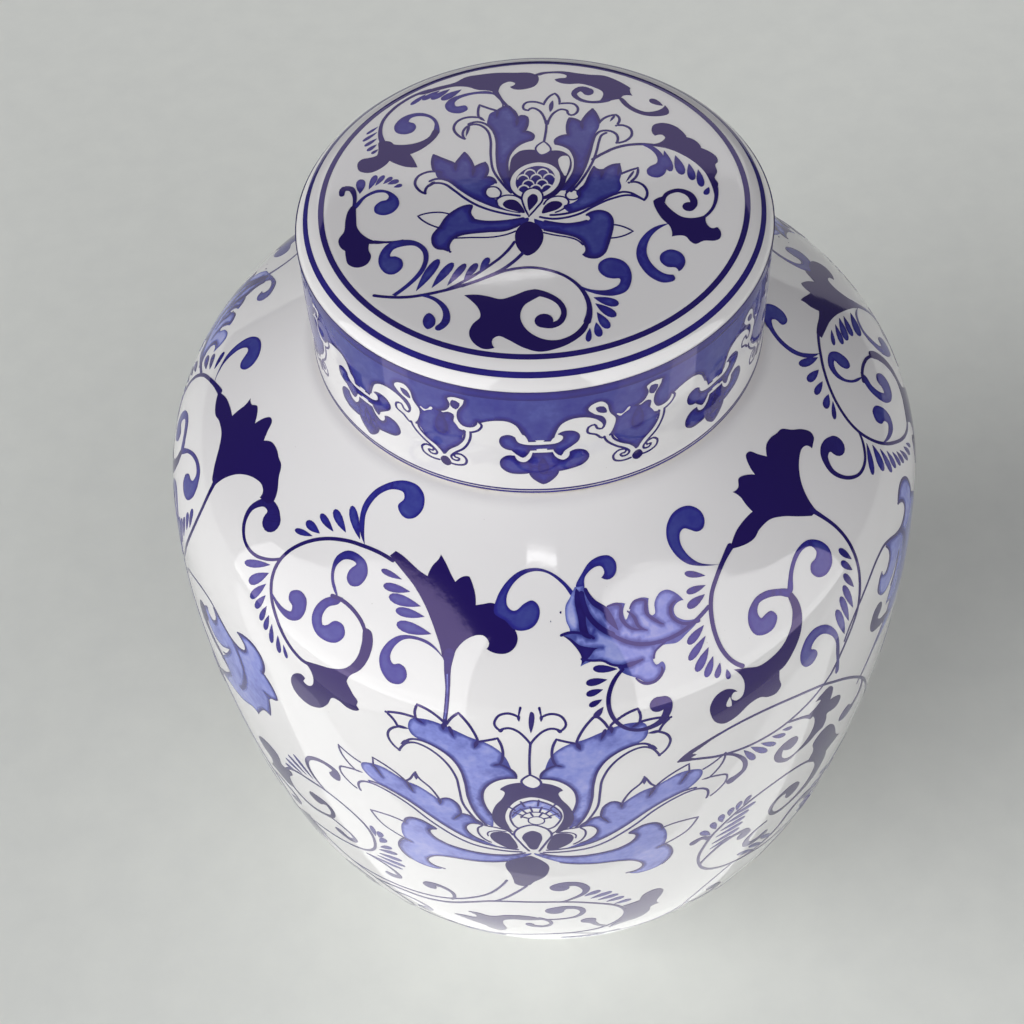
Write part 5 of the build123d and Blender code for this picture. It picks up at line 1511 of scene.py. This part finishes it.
# Biscuit shows below the foot's line, above the neck's and below the lip's, in metres of height.
BARE_FOOT, BARE_NECK, BARE_LIP, ABOVE_ALL = 0.0025, 0.2815, 0.2632, 1.0
GLAZE_ROUGHNESS = 0.045
GLAZE_IOR = 1.74
WAVE_STRENGTH = 0.12
WAVE_HEIGHT = 0.0006
COBALT = [
    (0.0, GLAZE),
    (0.2, (0.430, 0.450, 0.710)),
    (0.37, (0.205, 0.245, 0.610)),
    (0.48, (0.085, 0.105, 0.370)),
    (0.56, (0.044, 0.056, 0.265)),
    (0.66, (0.020, 0.020, 0.225)),
    (0.76, (0.017, 0.013, 0.150)),
    (0.93, (0.010, 0.004, 0.088)),
]
COBALT_SHEEN = (0.80, 0.63, 1.0, 1.0)
POOL_WIDTH, POOL_STRENGTH = 1.3, 0.34  # of the darker line that dries along an edge, width in mm
FULL_INK = 1.15  # the tone at which a wash no longer varies
SKY_LIGHT, SKY_STRENGTH = (0.80, 0.79, 0.87, 1), 0.13
BACKDROP = (0.56, 0.575, 0.555, 1)
FLOOR_TINTS = [(0.3, (0.81, 0.83, 0.79)), (0.7, (0.84, 0.86, 0.815))]


def node(tree, kind, **settings):
    """A node with its settings; the settings are the node's own properties, not its sockets."""
    made = tree.nodes.new(kind)
    for key, value in settings.items():
        setattr(made, key, value)
    return made


def noise(tree, source, scale, detail=3, rough=0.55):
    """A noise texture on the object's own coordinates."""
    made = node(tree, "ShaderNodeTexNoise")
    made.inputs["Scale"].default_value = scale
    made.inputs["Detail"].default_value = detail
    made.inputs["Roughness"].default_value = rough
    tree.links.new(source, made.inputs["Vector"])
    return made.outputs["Fac"]


def number(tree, operation, *values, clamp=False):
    """A Math node on sockets or plain numbers."""
    made = node(tree, "ShaderNodeMath", operation=operation, use_clamp=clamp)
    for socket, value in zip(made.inputs, values):
        if isinstance(value, (int, float)):
            socket.default_value = value
        else:
            tree.links.new(value, socket)
    return made.outputs[0]


def ramp(tree, source, stops):
    """A colour ramp from (place, colour) stops, colours linear."""
    made = node(tree, "ShaderNodeValToRGB")
    band = made.color_ramp.elements
    while len(band) < len(stops):
        band.new(0.5)
    for element, (place, colour) in zip(band, stops):
        element.position = place
        element.color = (*colour, 1)
    tree.links.new(source, made.inputs["Fac"])
    return made.outputs["Color"]


def mix(tree, factor, first, second):
    """A colour between first and second, which are sockets or plain colours."""
    made = node(tree, "ShaderNodeMix", data_type="RGBA")
    tree.links.new(factor, made.inputs["Factor"])
    for key, value in (("A", first), ("B", second)):
        if isinstance(value, tuple):
            made.inputs[key].default_value = value
        else:
            tree.links.new(value, made.inputs[key])
    return made.outputs["Result"]


def ground(name):
    """A fresh material with its tree, shader and object coordinates."""
    material = bpy.data.materials.new(name)
    material.use_nodes = True
    tree = material.node_tree
    shader = tree.nodes["Principled BSDF"]
    place = node(tree, "ShaderNodeTexCoord").outputs["Object"]
    return material, tree, shader, place


def glaze_waves(tree, shader, place):
    """The slight unevenness of a fired glaze: long soft waves and a very fine orange peel."""
    waves = noise(tree, place, scale=26, detail=2)
    peel = noise(tree, place, scale=420, detail=2)
    height = number(tree, "MULTIPLY_ADD", peel, 0.05, waves)
    bump = node(tree, "ShaderNodeBump")
    bump.inputs["Strength"].default_value = WAVE_STRENGTH
    bump.inputs["Distance"].default_value = WAVE_HEIGHT
    tree.links.new(height, bump.inputs["Height"])
    tree.links.new(bump.outputs["Normal"], shader.inputs["Normal"])


def glazed_porcelain(name, bare_below, bare_above):
    """Clear-glazed white porcelain, with bare biscuit where the kiln shelf or its mate touches."""
    material, tree, shader, place = ground(name)
    tint = ramp(tree, noise(tree, place, scale=9), [(0.3, GLAZE), (0.7, GLAZE_LIGHT)])
    iron = number(tree, "GREATER_THAN", noise(tree, place, scale=900, detail=1), SPECK_RARITY)
    spotted = mix(tree, number(tree, "MULTIPLY", iron, SPECK_STRENGTH), tint, IRON_SPECK)
    split = node(tree, "ShaderNodeSeparateXYZ")
    tree.links.new(place, split.inputs[0])
    ragged = noise(tree, place, scale=60, detail=2)
    jitter = number(tree, "MULTIPLY_ADD", ragged, 0.0012, -0.0006)
    height = number(tree, "ADD", split.outputs["Z"], jitter)
    low = number(tree, "LESS_THAN", height, bare_below)
    high = number(tree, "GREATER_THAN", height, bare_above)
    bare = number(tree, "MAXIMUM", low, high)
    biscuit = ramp(tree, noise(tree, place, scale=1500, detail=2), BISCUIT)
    tree.links.new(mix(tree, bare, spotted, biscuit), shader.inputs["Base Color"])
    rough = number(tree, "MULTIPLY_ADD", bare, 0.6, GLAZE_ROUGHNESS)
    tree.links.new(rough, shader.inputs["Roughness"])
    shader.inputs["IOR"].default_value = GLAZE_IOR
    glaze_waves(tree, shader, place)
    return material


def cobalt_paint(name):
    """Cobalt under the glaze: its depth follows the brush's tone, pools at edges and varies in the wash."""
    material, tree, shader, place = ground(name)
    ink = node(tree, "ShaderNodeAttribute", attribute_name="ink").outputs["Fac"]
    rim = node(tree, "ShaderNodeAttribute", attribute_name="rim").outputs["Fac"]
    wide = noise(tree, place, scale=95, detail=4, rough=0.6)
    clouds = number(tree, "MULTIPLY_ADD", wide, 0.46, -0.23)
    fine = noise(tree, place, scale=480, detail=2)
    brush = number(tree, "MULTIPLY_ADD", fine, 0.16, -0.08)
    variation = number(tree, "ADD", clouds, brush)
    thin = number(tree, "MULTIPLY", number(tree, "SUBTRACT", FULL_INK, ink), variation)
    inward = number(tree, "DIVIDE", rim, POOL_WIDTH)
    pooled = number(tree, "SUBTRACT", 1.0, inward, clamp=True)
    room = number(tree, "SUBTRACT", 1.0, ink)
    pool = number(tree, "MULTIPLY", pooled, room)
    density = number(tree, "MULTIPLY_ADD", pool, POOL_STRENGTH, ink)
    density = number(tree, "ADD", density, thin, clamp=True)
    tree.links.new(ramp(tree, density, COBALT), shader.inputs["Base Color"])
    shader.inputs["Roughness"].default_value = GLAZE_ROUGHNESS
    shader.inputs["IOR"].default_value = GLAZE_IOR
    shader.inputs["Specular Tint"].default_value = COBALT_SHEEN
    glaze_waves(tree, shader, place)
    return material


def plain_floor():
    """A matt pale floor with a faint grain."""
    material, tree, shader, place = ground("pale_floor")
    tint = ramp(tree, noise(tree, place, scale=60), FLOOR_TINTS)
    tree.links.new(tint, shader.inputs["Base Color"])
    shader.inputs["Roughness"].default_value = 0.7
    shader.inputs["Specular IOR Level"].default_value = 0.0
    return material


# ---- Putting the pieces on their bodies ----
JAR_GLAZE = glazed_porcelain("jar_glaze", BARE_FOOT, BARE_NECK)
LID_GLAZE = glazed_porcelain("lid_glaze", BARE_LIP, ABOVE_ALL)
PAINT = cobalt_paint("cobalt")


def finish_piece(piece, material, body):
    """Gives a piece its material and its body."""
    piece.data.materials.append(material)
    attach(piece, body)
    return piece


def painted(name, chart, shapes, body, shifts, level):
    """Draws a motif once and lays a copy at each shift; level is its film's place among the lifts."""
    lift = PAINT_LIFT + LIFT_STEP * (level % LIFT_LEVELS)
    art = Art(chart)
    for shape in shapes:
        shape(art)
    if art.shapes:
        drawn = meshed(art)
        for k, shift in enumerate(shifts):
            tag = f"{name}_{k + 1}" if len(shifts) > 1 else name
            finish_piece(film(tag, chart, drawn, shift, lift), PAINT, body)
    for k, band in enumerate(art.bands):
        finish_piece(ring(f"{name}_ring_{k + 1}", chart, band, lift), PAINT, body)


def lotus_mirrored(art):
    """The right half of the large flower: the left half turned over its middle line."""
    half = Art(art.chart)
    lotus_half(half)
    for tone, outline in half.shapes:
        art.add(tone, [(2 * LOTUS_MIDDLE - u, v) for u, v in outline])


jar = lathe("porcelain_jar", jar_section())
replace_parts(finish_piece(jar, JAR_GLAZE, "jar"), "jar_body")
lid = lathe("porcelain_lid", lid_section())
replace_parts(finish_piece(lid, LID_GLAZE, "cap_lid"), "lid")

BODY = Chart("body")
TOP = Chart("lid")
SKIRT = Chart("skirt", seams=(SKIRT_START, SKIRT_START + SKIRT_STEP))
THIRD = 2 * pi * BELLY_RADIUS / 3


def three(east=(0.0, 0.0), west=(0.0, 0.0)):
    """Places of a motif's three copies round the belly; east and west say how far two of them stray."""
    return [(0.0, 0.0), (THIRD + east[0], east[1]), (-THIRD + west[0], west[1])]


LARGE_FLOWER = [lotus_half, lotus_mirrored, lotus_pod, lotus_finial, lotus_bud]
MOTIFS = [
    ("lotus", LARGE_FLOWER, three((1, 5), (-2, -8))),
    ("scroll_west", [scroll_west], three((1.4, 4), (-2, -6))),
    ("leaf_over_flower", [leaf_over_flower], three((0, 2), (-3, -8))),
    ("feather_leaf", [feather_leaf], three((0, 4), (-3, -8))),
    ("scroll_east", [scroll_east], three((1, 5), (-3.6, -9))),
    ("drooping_leaf", [drooping_leaf], three((-1.3, 13), (-3, -2))),
    ("scroll_low_west", [scroll_low_west], three((0, 6), (0, -3))),
    ("long_leaf", [long_leaf], three((0, 5), (0, -3))),
    ("scroll_low_east", [scroll_low_east], three((0, 4), (0, -3))),
    ("scroll_under_flower", [scroll_under_flower], three((0, 3), (0, -2))),
    ("scroll_at_foot", [scroll_at_foot], three()),
    ("scroll_between", [scroll_between], three((0, 5), (0, -3))),
    ("foot_border", [foot_border], three()),
]
for level, (name, shapes, shifts) in enumerate(MOTIFS):
    painted(name, BODY, shapes, "jar", shifts, level)

LID_FLOWER = [
    lid_left_upper_petal,
    lid_left_side_petal,
    lid_left_lower_petal,
    lid_left_root,
    lid_right_upper_petal,
    lid_right_side_petal,
    lid_right_lower_petal,
    lid_right_root,
    lid_pod,
    lid_finial,
    lid_bud,
]
ONCE = [(0, 0)]
EIGHTHS = [(k * SKIRT_STEP, 0) for k in range(SKIRT_REPEATS)]
LID_MOTIFS = [
    ("lid_lotus", TOP, LID_FLOWER, ONCE, 0),
    ("lid_scroll_north", TOP, [lid_scroll_north], ONCE, 1),
    ("lid_scroll_west", TOP, [lid_scroll_west], ONCE, 2),
    ("lid_scroll_south", TOP, [lid_scroll_south], ONCE, 3),
    ("lid_scroll_east", TOP, [lid_scroll_east], ONCE, 4),
    ("lid_rings", TOP, [lid_rings], ONCE, 0),
    ("skirt_border", SKIRT, [skirt_field, skirt_pendant, skirt_shield], EIGHTHS, 0),
    # the skirt's rings include a painted-shade ring along its top, standing in for a dark reflection
    ("skirt_lines_and_shade_band", SKIRT, [skirt_lines_and_shade_band], ONCE, 1),
]
for name, chart, shapes, shifts, level in LID_MOTIFS:
    painted(name, chart, shapes, "cap_lid", shifts, level)


# ---- Floor, light and camera ----
# The camera looks down from in front of the jar; its yaw, pitch and roll are in radians.
CAMERA_PLACE = (0, -0.39527, 0.67474)
CAMERA_YAW, CAMERA_PITCH, CAMERA_ROLL = -0.02795, 0.90670, -0.05811
CAMERA_LENS, CAMERA_SENSOR = 66.75, 36

# Softboxes that show only in the glaze: place, aim, size and brightness.
GLOWS = {
    "left_wall": ((-1.416, -0.512, 0.758), (-0.978, 0.387, 0.758), (2.32, 1.515), 1.65),
    "right_wall": ((1.410, -0.683, 0.815), (1.101, 0.268, 0.815), (2.176, 1.63), 1.8),
    "back_wall": ((0.0, 1.80, 1.35), (0, 0, 0.3), (2.4, 0.85), 0.7),
    "near_floor": ((0.0, -0.117, 0.004), (0.0, -0.117, 1.0), (2.4, 0.075), 0.6),
    "front_floor": ((0.0, -0.21, 0.004), (0.0, -0.21, 1.0), (2.4, 0.11), 0.25),
    "left_floor": ((-0.85, -0.68, 0.004), (-0.85, -0.68, 1.0), (1.1, 0.84), 0.55),
    "back_strip": ((-0.05, 1.25, 1.64), (0, 0, 0.311), (0.15, 0.008), 5.0),
    "front_strip": ((-0.03, -0.794, 1.334), (0, -0.08, 0.25), (0.18, 0.009), 6.0),
}

# Broad far lights: azimuth from the front and height in degrees, strength, and spread in degrees.
SOFT_LIGHTS = {
    "key": (-62, 24, 2.45, 50),
    "front_fill": (0, 12, 1.1, 90),
    "right_fill": (62, 12, 1.25, 90),
}


def floor(reach=6.0):
    """A plain pale floor that reaches well past the picture."""
    mesh = bpy.data.meshes.new("floor")
    corners = [(-reach, -reach, 0), (reach, -reach, 0), (reach, reach, 0), (-reach, reach, 0)]
    mesh.from_pydata(corners, [], [(0, 1, 2, 3)])
    mesh.materials.append(plain_floor())
    linked("floor", mesh)


def glow(name, place, aim, size, brightness):
    """A softbox of a given brightness, aimed at a point, that shows only as a reflection."""
    data = bpy.data.lights.new(name, "AREA")
    data.shape = "RECTANGLE"
    data.size, data.size_y = size
    data.energy = brightness * pi * size[0] * size[1]
    lamp = linked(name, data)
    lamp.location = place
    lamp.rotation_euler = (Vector(aim) - Vector(place)).to_track_quat("-Z", "Y").to_euler()
    lamp.visible_camera = False
    lamp.visible_diffuse = False


def soft_light(name, azimuth, height, strength, spread):
    """A broad light from far away that lights the body colours but does not show in the glaze."""
    around, up = radians(azimuth), radians(height)
    data = bpy.data.lights.new(name, "SUN")
    data.energy = strength
    data.angle = radians(spread)
    lamp = linked(name, data)
    toward = Vector((sin(around) * cos(up), -cos(around) * cos(up), sin(up)))
    lamp.rotation_euler = toward.to_track_quat("Z", "Y").to_euler()
    lamp.visible_glossy = False


def sky():
    """Even dim light from all round, with a pale background where the camera looks past the floor."""
    world = bpy.data.worlds.new("studio")
    world.use_nodes = True
    bpy.context.scene.world = world
    tree = world.node_tree
    light = tree.nodes["Background"]
    light.inputs["Color"].default_value = SKY_LIGHT
    light.inputs["Strength"].default_value = SKY_STRENGTH
    backdrop = node(tree, "ShaderNodeBackground")
    backdrop.inputs["Color"].default_value = BACKDROP
    chosen = node(tree, "ShaderNodeMixShader")
    seen = node(tree, "ShaderNodeLightPath").outputs["Is Camera Ray"]
    tree.links.new(seen, chosen.inputs["Fac"])
    tree.links.new(light.outputs[0], chosen.inputs[1])
    tree.links.new(backdrop.outputs[0], chosen.inputs[2])
    tree.links.new(chosen.outputs[0], tree.nodes["World Output"].inputs["Surface"])


def camera():
    """The camera, above and in front of the jar, looking down at it."""
    yaw, pitch, roll = CAMERA_YAW, CAMERA_PITCH, CAMERA_ROLL
    ahead = Vector((sin(yaw) * cos(pitch), cos(yaw) * cos(pitch), -sin(pitch)))
    right = Vector((cos(yaw), -sin(yaw), 0))
    up = right.cross(ahead)
    across = right * cos(roll) + up * sin(roll)
    upward = up * cos(roll) - right * sin(roll)
    data = bpy.data.cameras.new("camera")
    data.sensor_width = CAMERA_SENSOR
    data.lens = CAMERA_LENS
    data.clip_start = 0.01
    eye = linked("camera", data)
    turn = Matrix((across, upward, -ahead)).transposed().to_4x4()
    eye.matrix_world = Matrix.Translation(CAMERA_PLACE) @ turn
    bpy.context.scene.camera = eye


floor()
for name, settings in GLOWS.items():
    glow(name, *settings)
for name, settings in SOFT_LIGHTS.items():
    soft_light(name, *settings)
sky()
camera()
bpy.context.scene.view_settings.view_transform = "Standard"
